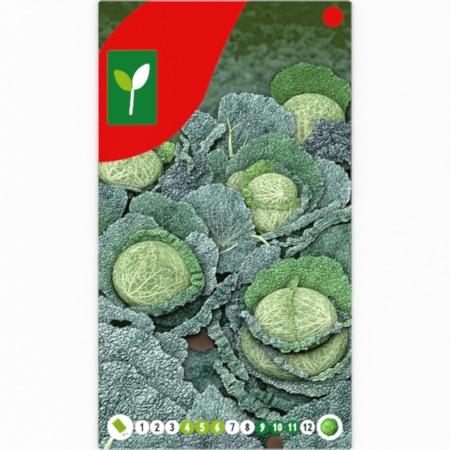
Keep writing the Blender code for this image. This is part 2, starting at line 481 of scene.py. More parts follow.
def ribbon(canvas, look, seed, points, widths, arch=0.5, **more):
    """A long leaf edge seen from above: a band along a smooth line, arched across."""
    points = np.array(points, float)
    fine = np.linspace(0, 1, 9 * len(points))
    line = np.stack([through(points[:, 0], fine), through(points[:, 1], fine)], 1)
    width = np.interp(fine, np.linspace(0, 1, len(widths)), widths)
    room = MARGIN + max(widths) / 2
    (left, low), (right, high) = line.min(0) - room, line.max(0) + room
    view, x, y = canvas.window(left, right, low, high)
    best = np.full(x.shape, 1e6, np.float32)
    u, v, half = np.zeros_like(best), np.zeros_like(best), np.ones_like(best)
    walked = 0.0
    for k in range(len(line) - 1):
        (x0, y0), (x1, y1) = line[k], line[k + 1]
        dx, dy = x1 - x0, y1 - y0
        length = math.hypot(dx, dy)
        share = np.clip(((x - x0) * dx + (y - y0) * dy) / (length * length), 0, 1)
        d = np.hypot(x - x0 - share * dx, y - y0 - share * dy)
        nearer = d < best
        best = np.where(nearer, d, best)
        u = np.where(nearer, walked + share * length, u)
        v = np.where(nearer, np.sign(dx * (y - y0) - dy * (x - x0)) * d, v)
        half = np.where(nearer, (width[k] + (width[k + 1] - width[k]) * share) / 2, half)
        walked += length
    level = np.zeros_like(u)
    half = half * (1 + 0.3 * noise(u / 3.4, level + seed + 0.5, seed + 4))
    wobble = (look.frill + 0.16 * half) * noise(u / look.frill_size, (v > 0) * 9.0 + seed, seed + 2)
    inside = half + wobble - best
    across = v / np.maximum(half, 0.1)
    crown = 0.55 * np.sqrt(np.clip(1 - across ** 2, 0.03, 1))
    tilt = 0.3 * across * noise(u / 4.5, level + 0.5, seed + 6)
    cross_waves = CROSS_WAVE * np.minimum(half, 2) * noise(u / 1.3, v / 3.5, seed + 8)
    form = arch * half * (crown + tilt) + cross_waves
    paint_leaf(canvas, view, u + 30, v, inside, 60.0, look, seed, form=form, **more)


def ragged_outline(draw, x, y, size, wide, tall, step=0.7):
    """Points round a place, with wide and tall the ranges of their distances in shares of size."""
    return [
        (x + size * draw.uniform(*wide) * math.cos(a), y + size * draw.uniform(*tall) * math.sin(a))
        for a in np.arange(0, 6.28, step)
    ]


# ---------------------------------------------------------------- the cabbage field
FAR = palette((34, 50, 20), (58, 78, 36), (78, 100, 58), (116, 138, 98))
SOIL = palette((92, 76, 62))[0]
BETWEEN = palette((40, 56, 42))[0]
FAR_LEAVES = 360
FILLER_LEAVES = 90

blue = Look(BLUE, blister=1.0, stretch=1.3, relief=0.34, tone=0.53, frill=0.6, rim=0.2, crease=0.2)
fine_blue = blue.but(blister=0.75, stretch=1.7)
ribbed = blue.but(blister=0.7, stretch=2.6, relief=0.26, contrast=0.95, tone=0.48)
coarse = blue.but(blister=1.6, stretch=1.2, relief=0.36, tone=0.58, frill=0.6, crease=0.2, contrast=1.1)
teal = Look(
    TEAL, blister=0.75, stretch=1.5, relief=0.26, tone=0.5, contrast=1.0, foot=-0.2, rim=0.24, frill=0.5,
    crease=0.2,
)
dark = Look(DARK, blister=0.9, stretch=1.4, relief=0.25, tone=0.4, contrast=0.8, frill=0.4)
bright = Look(GREEN, blister=0.9, stretch=1.1, relief=0.26, tone=0.5, foot=-0.2, rim=0.12, frill=0.6)
lime = Look(LIME, blister=0.9, stretch=1.1, relief=0.26, tone=0.5, foot=-0.1, rim=0.1, frill=0.6)
purple = Look(PURPLE, blister=1.1, stretch=1.2, relief=0.34, tone=0.46, frill=0.8, folds=1.2)
rib = Look(
    BLUE, blister=0.8, stretch=0.8, relief=0.34, tone=0.6, frill=0.42, frill_size=1.5, rim=0.14,
    second=(TEAL, lambda u, v, s, i: 0.5 + 0.5 * noise(u / 6, v / 6, 4)),
)
heart = Look(
    HEART, blister=2.1, stretch=1.45, relief=0.4, tone=0.32, contrast=1.0, foot=0.05, rim=0.0, veins=1.0,
    net=0.92, vein_width=0.52, fork_every=6.5, frill=0.12, folds=0.0, fan=HEAD_FAN,
)


def far_field(canvas):
    """The rows furthest away, out of focus: fine crumpled leaf, darker and yellower towards the top."""
    draw = np.random.default_rng(4)
    view, x, y = canvas.window(-46, 46, 20, 81)
    depth = smooth((80 - y) / 42)
    fine = clouds(x / 0.9, y / 0.7, 8, 4) + 0.5 * clouds(x / 4.5, y / 2.4, 12)
    tone = 0.40 + 0.13 * depth + (0.10 + 0.26 * depth) * fine
    near = FAR * 0.55 + BLUE * 0.45
    mix = smooth((66 - y) / 26)[..., None]
    canvas.colour[view] = blur(ramp(FAR, tone) * (1 - mix) + ramp(near, tone) * mix, 0.16)
    for k in range(FAR_LEAVES):
        leaf_y = 83 - 45 * (k / FAR_LEAVES) ** 0.8 + draw.uniform(-1.5, 1.5)
        leaf_x = draw.uniform(-46, 46)
        close = smooth((82 - leaf_y) / 40)
        size = 1.3 + 5.2 * close ** 1.4
        share = 0.08 + 0.6 * close
        stops = FAR * (1 - share) + BLUE * share
        look = Look(
            stops, blister=0.7, relief=0.3, tone=0.34 + 0.08 * close, contrast=0.3 + 0.4 * close,
            frill=0.7, soft=0.16, folds=0.8 + 0.8 * close, rim=0.04 + 0.06 * close,
        )
        rim = ragged_outline(draw, leaf_x, leaf_y, size, (0.5, 1.3), (0.3, 0.78), 0.6)
        leaf(
            canvas, look, 100 + k, (leaf_x, leaf_y - 0.3 * size), rim, depth=0.1 + 0.34 * close,
            spread=0.9,
        )
    canvas.colour[view] = blur(canvas.colour[view], 0.28)


def filler(canvas):
    """Leaves that show only in the gaps between the ones listed one by one."""
    draw = np.random.default_rng(9)
    for k in range(FILLER_LEAVES):
        leaf_y = 36 - 118 * (k / FILLER_LEAVES) + draw.uniform(-3, 3)
        leaf_x = draw.uniform(-46, 46)
        size = 6.5 + 3.5 * (k / FILLER_LEAVES)
        look = (blue, dark, fine_blue, teal)[k % 4].but(tone=0.38, veins=0.0)
        rim = ragged_outline(draw, leaf_x, leaf_y, size, (0.7, 1.2), (0.7, 1.2))
        leaf(
            canvas, look, 300 + k, (leaf_x, leaf_y), rim, heading=draw.uniform(0, 360), depth=0.9,
            spread=2.0,
        )


def back_cabbage(canvas):
    """The cabbage at the top right."""
    moss = Look(MOSS, blister=0.8, stretch=1.3, relief=0.26, tone=0.5, foot=-0.15, rim=0.15, frill=0.6)
    leaf(canvas, moss, 41, (31, 40), [
        (15, 49.5), (18.9, 53.8), (22.4, 55.1), (26.7, 57.2), (31.1, 56.8), (36.7, 55.1), (39.7, 52.5),
        (44, 50.3), (44.8, 44.7), (42.3, 40.2), (31, 33), (18, 43),
    ])
    dome(canvas, heart.but(tone=0.36), 43, (30.5, 36.2), (12.3, 10.4), (-0.3, -0.75), depth=1.0)
    # crumpled leaves in rows in front of it
    draw = np.random.default_rng(31)
    for k in range(16):
        leaf_x = 29 + 16 * (k % 4) / 3 + draw.uniform(-1.5, 1.5)
        leaf_y = 33.5 - 9 * (k // 4) / 3 + draw.uniform(-1, 1)
        if leaf_x < 33 and leaf_y > 30:
            continue
        size = draw.uniform(3.2, 4.6)
        rim = ragged_outline(draw, leaf_x, leaf_y, size, (0.6, 1.25), (0.5, 1.1))
        leaf(
            canvas, purple, 60 + k, (leaf_x, leaf_y), rim, heading=draw.uniform(0, 360), depth=1.0,
            spread=1.6,
        )


def edge_cabbage(canvas):
    """The cabbage at the left edge, partly under the red field."""
    leaf(canvas, lime.but(tone=0.6), 140, (-24, 24), [
        (-30, 29), (-24, 30), (-20, 29), (-17.7, 28.5), (-18.5, 25), (-22, 21), (-27, 21),
    ], heading=60)
    leaf(canvas, bright, 141, (-30, 22), [
        (-24, 28), (-21.5, 24), (-22, 19), (-25, 14), (-29, 11.8), (-34, 13), (-40, 14), (-46, 15),
        (-46, 25), (-34, 30),
    ], heading=0)
    dome(canvas, heart.but(tone=0.4), 143, (-34, 20.5), (11.6, 8.2), (0.48, -0.86), depth=0.9)
    dome(canvas, heart.but(tone=0.34), 147, (-34, 20.5), (11.6, 8.2), (-0.62, -0.55), cut=((-41, 18), [
        (-36, 28), (-35.5, 20), (-34, 13), (-47, 12), (-47, 28),
    ]), depth=0.5, spread=0.6)
    ribbon(canvas, rib, 149, [
        (-16.5, 28.5), (-16.6, 24.5), (-17, 21.5), (-19.5, 18.8), (-21.9, 15.7), (-25.5, 12.6),
    ], [1.5, 2.6, 2.4, 2.4, 2.6, 1.6])
    ribbon(canvas, rib.but(tone=0.52), 151, [
        (-46, 14.5), (-40, 13.6), (-35, 13), (-30, 12.2),
    ], [1.6, 2, 2, 1.6])


def middle_leaves(canvas):
    """The leaves behind the middle cabbage."""
    # the tall leaf with a pale midrib
    look = ribbed.but(tone=0.44, veins=0.35, fan=((12, 1.0), (-30, 0.8), (40, 0.7)))
    leaf(canvas, look, 81, (2.4, 24.0), [
        (-2, 30), (-2.5, 38), (-1, 46), (5, 46.8), (13.7, 46), (18.1, 43.8), (22.4, 40), (24.1, 36.5),
        (25, 31.3), (20, 27), (10, 24), (2, 20), (-1, 24),
    ], heading=72)
    stem(canvas, [
        (2.2, 24.2), (1.9, 27.5), (1.7, 30.5), (1.9, 33), (0.9, 37.5),
    ], [1.1, 0.9, 0.8, 0.7, 0.3])
    stem(canvas, [(1.9, 33), (3.6, 34.6), (6.0, 36)], [0.45, 0.35, 0.15])
    stem(canvas, [(2.4, 24.4), (4.6, 24.8), (6.6, 28.2), (8.2, 31.6)], [0.7, 0.45, 0.35, 0.15])
    # the leaf with the pale frilly rim beside it
    leaf(canvas, blue.but(tone=0.46), 83, (-8, 30), [
        (-16.1, 34.6), (-14.5, 38), (-9, 40), (-4.2, 38), (-1, 35), (-0.2, 31.7), (-4.9, 29.6),
        (-7.1, 25.3), (-10.3, 24.3), (-11.3, 26.6), (-13, 31),
    ], heading=80)
    ribbon(canvas, rib.but(tone=0.66), 85, [
        (-11, 27), (-10.4, 25), (-7.6, 26.2), (-6, 29.5), (-3.6, 32), (-1.2, 34),
    ], [1.2, 1.8, 2.0, 2.4, 3.4, 2.6])
    leaf(canvas, teal, 87, (-2, 18), [
        (-7, 23.5), (-4, 26.5), (-1, 26.5), (0.4, 24), (1, 20), (0.8, 14.5), (-3, 13), (-9.5, 15),
        (-9.5, 20),
    ], heading=95)
    leaf(canvas, rib.but(tone=0.56), 88, (-8, 18), [
        (-10.4, 17), (-9.6, 20.5), (-7.2, 22.6), (-5.4, 21), (-5, 16), (-6, 13), (-10.5, 13.5),
    ], heading=95)
    leaf(canvas, purple, 89, (-14.5, 16), [
        (-21.6, 11.8), (-18.7, 19.5), (-15.5, 20.8), (-12.9, 23.4), (-6.5, 23.9), (-10.3, 17),
        (-11, 13.1), (-16.1, 8.7), (-20, 9.5),
    ], heading=60)
    ribbon(canvas, rib.but(tone=0.6), 90, [
        (-15.4, 31), (-13.4, 28), (-14.6, 25), (-12.4, 22), (-13, 18.5),
    ], [1.4, 2.2, 1.9, 2.1, 1.2])


def middle_cabbage(canvas):
    """The cabbage in the middle, in the shade of its tall back leaf."""
    leaf(canvas, ribbed.but(tone=0.56), 91, (31, 5), [
        (30, 22), (34.5, 23.6), (38, 22.5), (42, 19.5), (44.8, 16.5), (44.2, 10), (41, 5.5), (36, 3),
        (30, 1),
    ], heading=62, bend=0.2)
    look = teal.but(
        blister=0.8, tone=0.44, second=(SAGE, lambda u, v, s, i: 0.5 + 0.6 * noise(u / 7, v / 7, 3)),
    )
    leaf(canvas, look, 93, (17, 12), [
        (0.8, 21.7), (5.1, 26.9), (10.7, 30.2), (14.6, 32.6), (18.9, 32.6), (23.3, 30.8), (27.6, 26.5),
        (32.4, 21.7), (34.5, 17.4), (34.7, 13.1), (33.2, 8.4), (29, 4), (20, 0), (6, 10), (0.6, 17),
    ], heading=80)
    leaf(canvas, heart.but(tone=0.42, blister=1.3, vein_width=0.3), 95, (6, 12), [
        (0.9, 15.2), (3.4, 18.2), (7.7, 19), (9.5, 15), (8, 9),
    ], heading=80)
    green_edge = lime.but(blister=0.7, second=(TEAL, lambda u, v, s, i: 0.5 - 0.16 * (v - 0.2 * u + 2)))
    leaf(canvas, green_edge, 97, (16.5, 11.5), [
        (6.2, 13.1), (7.1, 18.3), (10.4, 21.9), (14.6, 23.3), (18.9, 22.3), (21.5, 20), (24.5, 17.4),
        (27, 15.7), (29.1, 13.5), (28.7, 8.8), (26.7, 4.6), (21.5, 0.1), (16, -3.4), (11, -2), (8, 5),
    ])
    look = heart.but(tone=0.38, blister=1.5)
    dome(canvas, look, 98, (16.4, 11), (9.3, 7.2), (0.42, -0.05), depth=1.1, spread=1.8)
    dome(canvas, look, 99, (17.8, 4.8), (9.9, 8.0), (-0.1, -0.9), cut=((16.5, 2), [
        (6, 10), (9, 8.8), (11.5, 7.2), (16, 6.4), (21.5, 6.4), (25.5, 8.8), (29.5, 9), (28, -6), (7, -6),
    ]), depth=0.7, spread=0.8)
    ribbon(canvas, lime.but(tone=0.5, blister=0.7, frill=0.25), 100, [
        (8.2, 9.4), (11, 7.2), (16, 6.3), (21.5, 6.4), (26.2, 9.0),
    ], [0.8, 1.4, 1.1, 1.5, 1.2], arch=0.3, depth=0.6, spread=0.6)
    ribbon(canvas, rib.but(tone=0.56), 101, [
        (28.6, 13.2), (28.4, 9), (26.6, 4.6), (23, 1.0), (19.2, -2.0),
    ], [2.2, 2.8, 2.4, 2.0, 1.2])
    ribbon(canvas, lime.but(tone=0.55, blister=0.7), 102, [
        (7, 11), (8.2, 8.6), (10.4, 6.8),
    ], [2.0, 2.2, 1.4])


def big_middle_leaf(canvas):
    """The flat veined leaf in the middle."""
    look = ribbed.but(
        tone=0.47, relief=0.19, veins=0.75, vein_width=0.3, blister=0.62, fork_every=5.0,
        fan=((-8, 0.7), (22, 0.8), (-30, 1.0), (48, 0.7), (-52, 0.9), (74, 0.6), (-76, 0.7)),
    )
    leaf(canvas, look, 111, (-1, -7), [
        (-16.9, 8.3), (-12.6, 11.2), (-10.3, 13.1), (-6.5, 14.6), (-2, 13.8), (1.6, 14.4), (4.6, 11.8),
        (6.6, 7.5), (9.2, 3.1), (10.4, 0), (10.4, -2.6), (10.7, -6), (10.2, -11.5), (6.4, -14.8),
        (1.7, -16.8), (-2, -17), (-7, -14), (-13, -6), (-17, 2),
    ], heading=93)
    stem(canvas, [(-1.9, -10), (1.5, -8.6), (4.6, -6.4)], [0.3, 0.6, 0.3])


def left_cabbage(canvas):
    """The cabbage at the lower left, in a ring of outer leaves."""
    look = blue.but(tone=0.38, blister=0.8, second=(SAGE, lambda u, v, s, i: 1.3 - 1.6 * s))
    leaf(canvas, look, 121, (-44, -6), [
        (-46, 13.7), (-42.5, 14.0), (-40.2, 13.9), (-35.4, 12.3), (-32.6, 10.2), (-34.2, 6.7),
        (-37.4, 2.5), (-41.4, -3), (-46, -8),
    ], heading=75)
    look = teal.but(
        blister=0.72, stretch=1.9, veins=0.4, vein_width=0.3,
        fan=((-14, 1.0), (18, 0.5), (50, 0.4), (-55, 0.5)),
    )
    leaf(canvas, look, 123, (-22.5, -3), [
        (-33.7, 7.5), (-31.2, 10.5), (-28.3, 11.9), (-24.4, 11.9), (-21.2, 10.2), (-17.4, 7.7),
        (-12.9, 8.1), (-10.3, 4.1), (-6.5, -0.4), (-5.6, -3.8), (-8, -8), (-16, -10), (-30, -6), (-34, 2),
    ])
    leaf(canvas, fine_blue.but(tone=0.52, stretch=2.0), 125, (-13, -15), [
        (-11.6, -3.1), (-9.3, -1.9), (-6.6, -2.5), (-5.2, -5), (-2.7, -7.4), (-2.1, -10.6), (-3.3, -14.2),
        (-2.7, -16.6), (-3.6, -18.9), (-2.4, -20.7), (-4.8, -23.6), (-7.2, -26.2), (-9.5, -25),
        (-14, -22), (-16, -8),
    ], heading=20, depth=1.0)
    look = fine_blue.but(tone=0.52, second=(SAGE, lambda u, v, s, i: 1.9 - 1.9 * s))
    leaf(canvas, look, 127, (-26, -17.6), [
        (-22.9, -1), (-25.9, 2.4), (-29, 3.9), (-32, 4.6), (-36, 3.4), (-39.5, 1), (-43, -3), (-46.5, -8),
        (-47.5, -12), (-46.5, -18), (-44.8, -22), (-42.5, -25), (-38.2, -28), (-34, -31), (-20, -28),
        (-14, -18), (-17, -8),
    ], heading=150, depth=1.0)
    leaf(canvas, dark.but(tone=0.34, veins=0.35), 129, (-20, -24), [
        (-29, -31.8), (-24, -34), (-19, -35.2), (-14, -34), (-10, -30.5), (-8.6, -25), (-12, -18),
        (-30, -22),
    ], heading=-60, depth=1.0)
    edge = bright.but(
        blister=0.75, roll=0.5, frill=0.45, foot=-0.25,
        second=(BLUE, lambda u, v, s, i: 0.45 - 0.11 * u + 0.03 * v),
    )
    leaf(canvas, edge, 131, (-24, -17), [
        (-37, -10), (-35.5, -6.6), (-32.4, -3.8), (-27.9, -2.2), (-23.1, -2.1), (-17.7, -4.1),
        (-12.5, -7.6), (-9.7, -12.3), (-8.7, -16), (-7.3, -18.3), (-7.4, -20.8), (-8.8, -24.4),
        (-14.3, -28), (-19.4, -30.6), (-24.5, -31.7), (-28.6, -31.3), (-33, -29.4), (-38.5, -24),
        (-39.5, -17),
    ], depth=1.1)
    fan = ((-6, 1.0), (28, 0.9), (56, 0.75), (-42, 1.0), (-74, 0.8), (84, 0.5))
    look = heart.but(tone=0.46, net=0.6, blister=2.3)
    dome(canvas, look, 133, (-25.6, -18.0), (14.2, 12.4), (0.8, -0.3), depth=1.1, spread=1.5)
    dome(canvas, heart.but(fan=fan), 135, (-25.6, -18.0), (14.2, 12.4), (-0.62, -0.57), cut=((-30, -20), [
        (-26.2, -5), (-24.2, -8), (-23.4, -11), (-25.2, -13.6), (-23.5, -15.5), (-18.5, -15.8),
        (-14, -17.5), (-11, -20), (-12, -26), (-20, -32), (-34, -32), (-42, -24), (-42, -12), (-34, -5),
    ]), depth=0.55, spread=0.6)
    ring = [
        (-33.4, -4.4), (-29.5, -2.9), (-25.2, -2.5), (-20.9, -3.6), (-17, -6.1), (-13.4, -10),
        (-10.6, -14.6), (-9.6, -18.8), (-10.6, -22.4), (-14.5, -25.6), (-18.7, -28.2), (-23.7, -29.9),
        (-28.7, -30.5), (-33, -29.6),
    ]
    lip = bright.but(
        blister=0.75, frill=0.36, frill_size=1.6, tone=0.43, rim=0.2,
        second=(TEAL, lambda u, v, s, i: (u - 62) / 16),
    )
    ribbon(canvas, lip, 137, ring, [
        1.2, 2.6, 3.0, 3.0, 3.2, 3.6, 4.0, 4.2, 4.2, 4.0, 3.6, 3.0, 2.4, 1.2,
    ], arch=0.3, depth=0.75, spread=0.9)


def stem(canvas, points, widths):
    """A pale rib along a line."""
    stalk = Look(
        palette((80, 110, 70), (150, 176, 130), (196, 214, 172), (222, 234, 204)), blister=3, stretch=4,
        relief=0.05, tone=0.55, contrast=0.7, frill=0.0, folds=0.0, rim=-0.1, crease=0.0,
    )
    ribbon(canvas, stalk, 7, points, widths, arch=0.7, depth=0.5, spread=0.6)


def between_leaves(canvas):
    """Leaf edges between the middle cabbage and the front one."""
    leaf(canvas, teal.but(blister=0.8, stretch=2.4, tone=0.5), 201, (34, -22), [
        (27, -9), (28.5, -5.5), (32, -3.5), (38, -1), (42, 1), (47, 0), (47, -20), (30, -20),
    ], heading=100)
    ribbon(canvas, rib.but(tone=0.58), 203, [
        (9, -5.8), (14, -4.6), (19, -2.8), (24, -1.0), (29, 1.6), (34, 3.9), (40, 7.2),
    ], [1.4, 2.4, 3.4, 3.2, 3.6, 3.0, 2.6])
    ribbon(canvas, rib.but(tone=0.6), 205, [
        (30, -3.6), (34.5, 0.6), (38.5, 2.8), (46, 5),
    ], [3.4, 3.6, 3.8, 4.5])
    ribbon(canvas, rib.but(tone=0.55), 207, [
        (15.5, -6.4), (20, -6.8), (24, -6.2), (29, -5.0),
    ], [1.4, 2.2, 2.6, 1.6])
    ribbon(canvas, rib.but(tone=0.58), 209, [
        (21.4, -11.4), (24, -9.4), (27.5, -7.2), (30.5, -5.2),
    ], [2.0, 2.6, 2.4, 1.6])
    leaf(canvas, blue.but(tone=0.48, blister=0.85), 211, (14, -17), [
        (4.3, -17.5), (5.5, -13.9), (9, -10.5), (11.8, -7.9), (14.5, -6.9), (18, -7.4), (20.8, -9.5),
        (20.4, -12), (16, -15), (12, -18.5), (8, -23), (6.8, -25.5), (4.6, -21),
    ], heading=120)
    stem(canvas, [(9.7, -3.8), (12.5, -4.6), (15.5, -7.2)], [0.5, 1.0, 0.6])


def front_cabbage(canvas):
    """The largest cabbage, at the lower right, with its leaves opening in rings."""
    ribbon(canvas, blue.but(tone=0.52, stretch=1.0), 221, [
        (4.2, -20.6), (2.8, -26), (3.4, -32), (4.6, -38), (6.2, -45),
    ], [4, 6.6, 6, 4.6, 4], arch=0.35)
    ribbon(canvas, dark.but(tone=0.52), 222, [
        (6.5, -23), (6.2, -30), (6.6, -38), (8, -46),
    ], [2, 3, 4, 5], arch=0.3)
    leaf(canvas, bright.but(second=(LIME, lambda u, v, s, i: 1.3 - 1.4 * s)), 223, (25.5, -33), [
        (7.0, -25.5), (8.0, -31), (11.4, -18), (17, -13.5), (21.9, -11.8), (29, -11.3), (33, -11.2),
        (36.2, -10.6), (40.5, -13.4), (43, -18.3), (45.5, -22.4), (44.6, -30.6), (42.6, -35), (30, -45),
        (12, -40),
    ], depth=1.1)
    ribbon(canvas, teal.but(tone=0.5), 224, [
        (25.5, -17.5), (24.6, -19.5), (23.6, -22), (22.5, -25),
    ], [0.6, 1.6, 2.4, 2.0])
    ring = rib.but(tone=0.56, blister=1.2, roll=0.3)
    leaf(canvas, ring, 225, (25, -38), [
        (4.2, -44), (5.6, -49), (9.5, -53), (14, -55.3), (18.1, -57), (22.5, -58.8), (26.8, -59.6),
        (31, -61), (35.4, -60.4), (38.7, -57.4), (45, -53.5), (47.5, -48), (47, -36), (40, -30),
        (10, -30),
    ], heading=-90, depth=1.2, spread=2.2)
    lower = heart.but(stops=SHADE_HEART, tone=0.5, blister=2.2, net=0.7)
    dome(canvas, lower, 227, (24.6, -41), (18.8, 13.8), (-0.62, -0.62), depth=1.0)
    look = heart.but(tone=0.43, vein_width=0.6, blister=2.3)
    dome(canvas, look, 229, (26.2, -40), (17.2, 14.0), (0.36, -0.90), cut=((31, -44), [
        (10, -34), (14, -40), (18, -44.5), (22, -49), (26, -53), (29, -56), (45, -56), (48, -30),
        (20, -28),
    ]), depth=0.8, spread=0.8)
    ribbon(canvas, rib.but(tone=0.54), 231, [
        (6.2, -31.5), (9.5, -37.5), (14, -43), (19, -48), (24, -51.6), (28.5, -53.6),
    ], [2.0, 2.2, 2.6, 3.0, 2.6, 1.6])
    ribbon(canvas, rib.but(tone=0.5, second=(GREEN, lambda u, v, s, i: 0.6 + 0 * u)), 232, [
        (28.5, -54.6), (33, -54.2), (38, -52), (42, -48.6), (46, -45),
    ], [1.6, 2.8, 3.0, 3.0, 3.2])
    look = heart.but(tone=0.5, vein_width=0.6)
    dome(canvas, look, 233, (25, -33.2), (14.8, 11.2), (0.84, 0.0), depth=1.3, spread=2.4)
    look = heart.but(tone=0.42, vein_width=0.6)
    dome(canvas, look, 235, (25, -33.2), (14.8, 11.2), (-0.95, -0.2), cut=((17, -31), [
        (25.8, -18.5), (24.2, -22), (22.9, -27), (23.4, -34), (24.8, -42), (22, -46), (4, -44), (4, -18),
    ]), depth=0.7, spread=0.7)
    fold = lime.but(blister=0.7, frill=0.2, tone=0.56)
    ribbon(canvas, fold, 237, [
        (25.8, -18.4), (24, -21.5), (22.4, -26.5), (22.4, -32), (23.4, -37), (24.4, -41),
    ], [0.8, 1.9, 2.0, 1.2, 0.9, 0.6], arch=0.3, depth=0.35)
    lip = rib.but(tone=0.54, second=(GREEN, lambda u, v, s, i: 0.55 + 0.5 * noise(u / 5, v * 0, 5)))
    ribbon(canvas, lip, 239, [
        (5.4, -31.8), (8.5, -32.6), (11, -36.4), (15, -40), (19.6, -42.3), (24.5, -42.8), (29.4, -41.4),
        (34.2, -39.2), (38.6, -36.6), (46, -34.4),
    ], [2.2, 3.2, 3.0, 2.6, 2.6, 2.8, 2.8, 2.4, 2.6, 2.4], depth=1.1, spread=1.6)


def front_leaves(canvas):
    """The leaves and the bare soil along the bottom."""
    # bare soil and the dull leaves under it
    leaf(canvas, blue.but(soft=0.12, tone=0.36, contrast=0.8), 251, (-7, -52), [
        (-14, -43), (-9, -41), (-3, -43), (-1, -50), (-2, -58), (-8, -62), (-14, -56),
    ])
    earth = np.stack([SOIL * 0.55, SOIL * 0.85, SOIL, SOIL * 1.25])
    ground = Look(
        earth, blister=1.5, relief=0.1, tone=0.5, contrast=0.5, frill=0.4, soft=0.25, crease=0.1,
    )
    leaf(canvas, ground, 253, (-8.5, -40.6), [
        (-13.6, -39.5), (-12.4, -38), (-8, -37.6), (-4.2, -38.4), (-3.7, -42), (-6, -43.8), (-10, -44),
        (-13, -42.6),
    ], heading=0)
    ribbon(canvas, rib.but(tone=0.55), 255, [
        (-4.6, -31.5), (-3.6, -36), (-1.2, -41), (1.6, -46), (4.4, -50.6), (7, -54),
    ], [4.2, 4.6, 4.8, 5, 4.4, 2.4], depth=1.2, spread=2.0)
    ribbon(canvas, blue.but(tone=0.38, blister=0.85, rim=0.1), 257, [
        (2.0, -18.6), (-0.6, -23), (-4.6, -27), (-8.2, -32.2), (-12.4, -36.2), (-18, -38.6), (-25, -42),
    ], [2.6, 6.4, 3.2, 4.6, 4.8, 3.4, 3], depth=1.3, spread=2.2)
    leaf(canvas, blue.but(tone=0.5), 259, (-20, -45), [
        (-28, -38), (-22, -38.5), (-15, -39.5), (-13, -42), (-13.6, -47), (-18, -50), (-28, -48),
    ], heading=60)
    leaf(canvas, fine_blue.but(tone=0.52), 261, (-36, -44), [
        (-46, -24), (-41, -27.6), (-37.5, -29), (-33.5, -30.4), (-28.6, -31.6), (-25.5, -34),
        (-24.5, -38), (-30, -42), (-46, -42),
    ], heading=80, depth=1.2)
    gap = dark.but(tone=0.0, contrast=0.2)
    leaf(canvas, gap, 262, (-37, -35.2), [
        (-41, -34.6), (-37, -34.2), (-33.2, -34.6), (-34, -36), (-40, -36.4),
    ], heading=0, depth=0.3)
    leaf(canvas, coarse.but(tone=0.55), 263, (-44, -56), [
        (-47, -34.5), (-43, -35.6), (-40.4, -36.4), (-31.2, -36.4), (-26.5, -38.4), (-24.3, -40.4),
        (-22.5, -43), (-20.9, -46), (-17.5, -47), (-15.1, -47.9), (-12.9, -51.1), (-14.4, -55.2),
        (-18, -60), (-30, -66), (-47, -66),
    ], heading=55, depth=1.3, spread=2.4)
    leaf(canvas, coarse.but(blister=1.5, tone=0.52), 265, (-24, -68), [
        (-30, -55), (-24, -55), (-16, -54.6), (-11, -57), (-8.2, -60.5), (-8.6, -66), (-12, -72),
        (-30, -74),
    ], heading=70, depth=1.2)
    leaf(canvas, coarse.but(stretch=1.4, tone=0.5), 267, (-44, -72), [
        (-47, -49), (-40, -49.2), (-33.5, -49.6), (-29.5, -54), (-26, -58.6), (-21, -61), (-17.4, -63),
        (-12, -66.6), (-14, -74), (-30, -78), (-47, -78),
    ], heading=50, depth=1.2, spread=2.2)
    leaf(canvas, ribbed.but(tone=0.56, blister=1.3, veins=0.2), 269, (-3.5, -73), [
        (-10.4, -62), (-8, -58.6), (-5.4, -56.9), (-2.6, -57.6), (-1, -60.5), (2.5, -62.4), (6.5, -65),
        (9, -69), (6, -76), (-10, -77),
    ], heading=92, depth=1.0)
    ribbon(canvas, rib.but(tone=0.52, blister=1.0), 271, [
        (-2.6, -49.6), (0.4, -53.4), (4, -58), (7, -61.6), (11, -64.6), (16, -68), (21, -70),
    ], [2.6, 4.2, 5, 4.8, 5.2, 5, 3.6], depth=1.4, spread=2.4)
    ribbon(canvas, dark.but(tone=0.52), 273, [
        (10, -58.8), (15, -61.5), (20, -63.6), (26, -65), (32, -64.4),
    ], [2.2, 3.4, 4, 4, 2.6], depth=1.0)
    leaf(canvas, blue.but(tone=0.4), 275, (34, -76), [
        (22, -66), (28, -63.5), (36, -61.5), (42, -58), (47, -56), (47, -78), (22, -80),
    ], heading=100, depth=1.0)
    leaf(canvas, fine_blue.but(tone=0.34, blister=0.9), 277, (44, -66), [
        (38, -58), (42, -56.5), (47, -55.5), (47, -74), (40, -72), (37, -64),
    ], heading=60, depth=1.0)
    # the strip below the months
    leaf(canvas, blue.but(tone=0.5, blister=1.2), 281, (-30, -86), [
        (-44, -76), (-38, -74.6), (-30, -73.6), (-20, -73.4), (-15, -75), (-14, -84), (-44, -86),
    ], heading=80, depth=1.0)
    leaf(canvas, purple.but(tone=0.5), 283, (-6, -86), [
        (-17, -75), (-12, -73.4), (-4, -73.2), (2, -74), (7, -74.8), (13, -76), (15, -84), (-16, -86),
    ], heading=92, depth=1.0)
    leaf(canvas, ground.but(tone=0.45), 285, (17.6, -78), [
        (15.6, -75.4), (19.6, -75.2), (20.4, -80), (19, -83), (15.4, -83), (15, -79),
    ], heading=0)
    leaf(canvas, blue.but(tone=0.42, blister=1.1), 287, (34, -88), [
        (21, -78), (25, -75), (32, -73.6), (40, -73.4), (47, -74), (47, -88), (21, -88),
    ], heading=95, depth=1.0)
    stem(canvas, [(-43, -82), (-41.6, -78.4), (-39.6, -74.6)], [1.5, 1.6, 1.0])


def cabbage_field(canvas):
    """The whole picture, from the back to the front."""
    canvas.colour[:] = BETWEEN
    filler(canvas)
    far_field(canvas)
    back_cabbage(canvas)
    edge_cabbage(canvas)
    middle_leaves(canvas)
    middle_cabbage(canvas)
    big_middle_leaf(canvas)
    left_cabbage(canvas)
    between_leaves(canvas)
    front_cabbage(canvas)
    front_leaves(canvas)


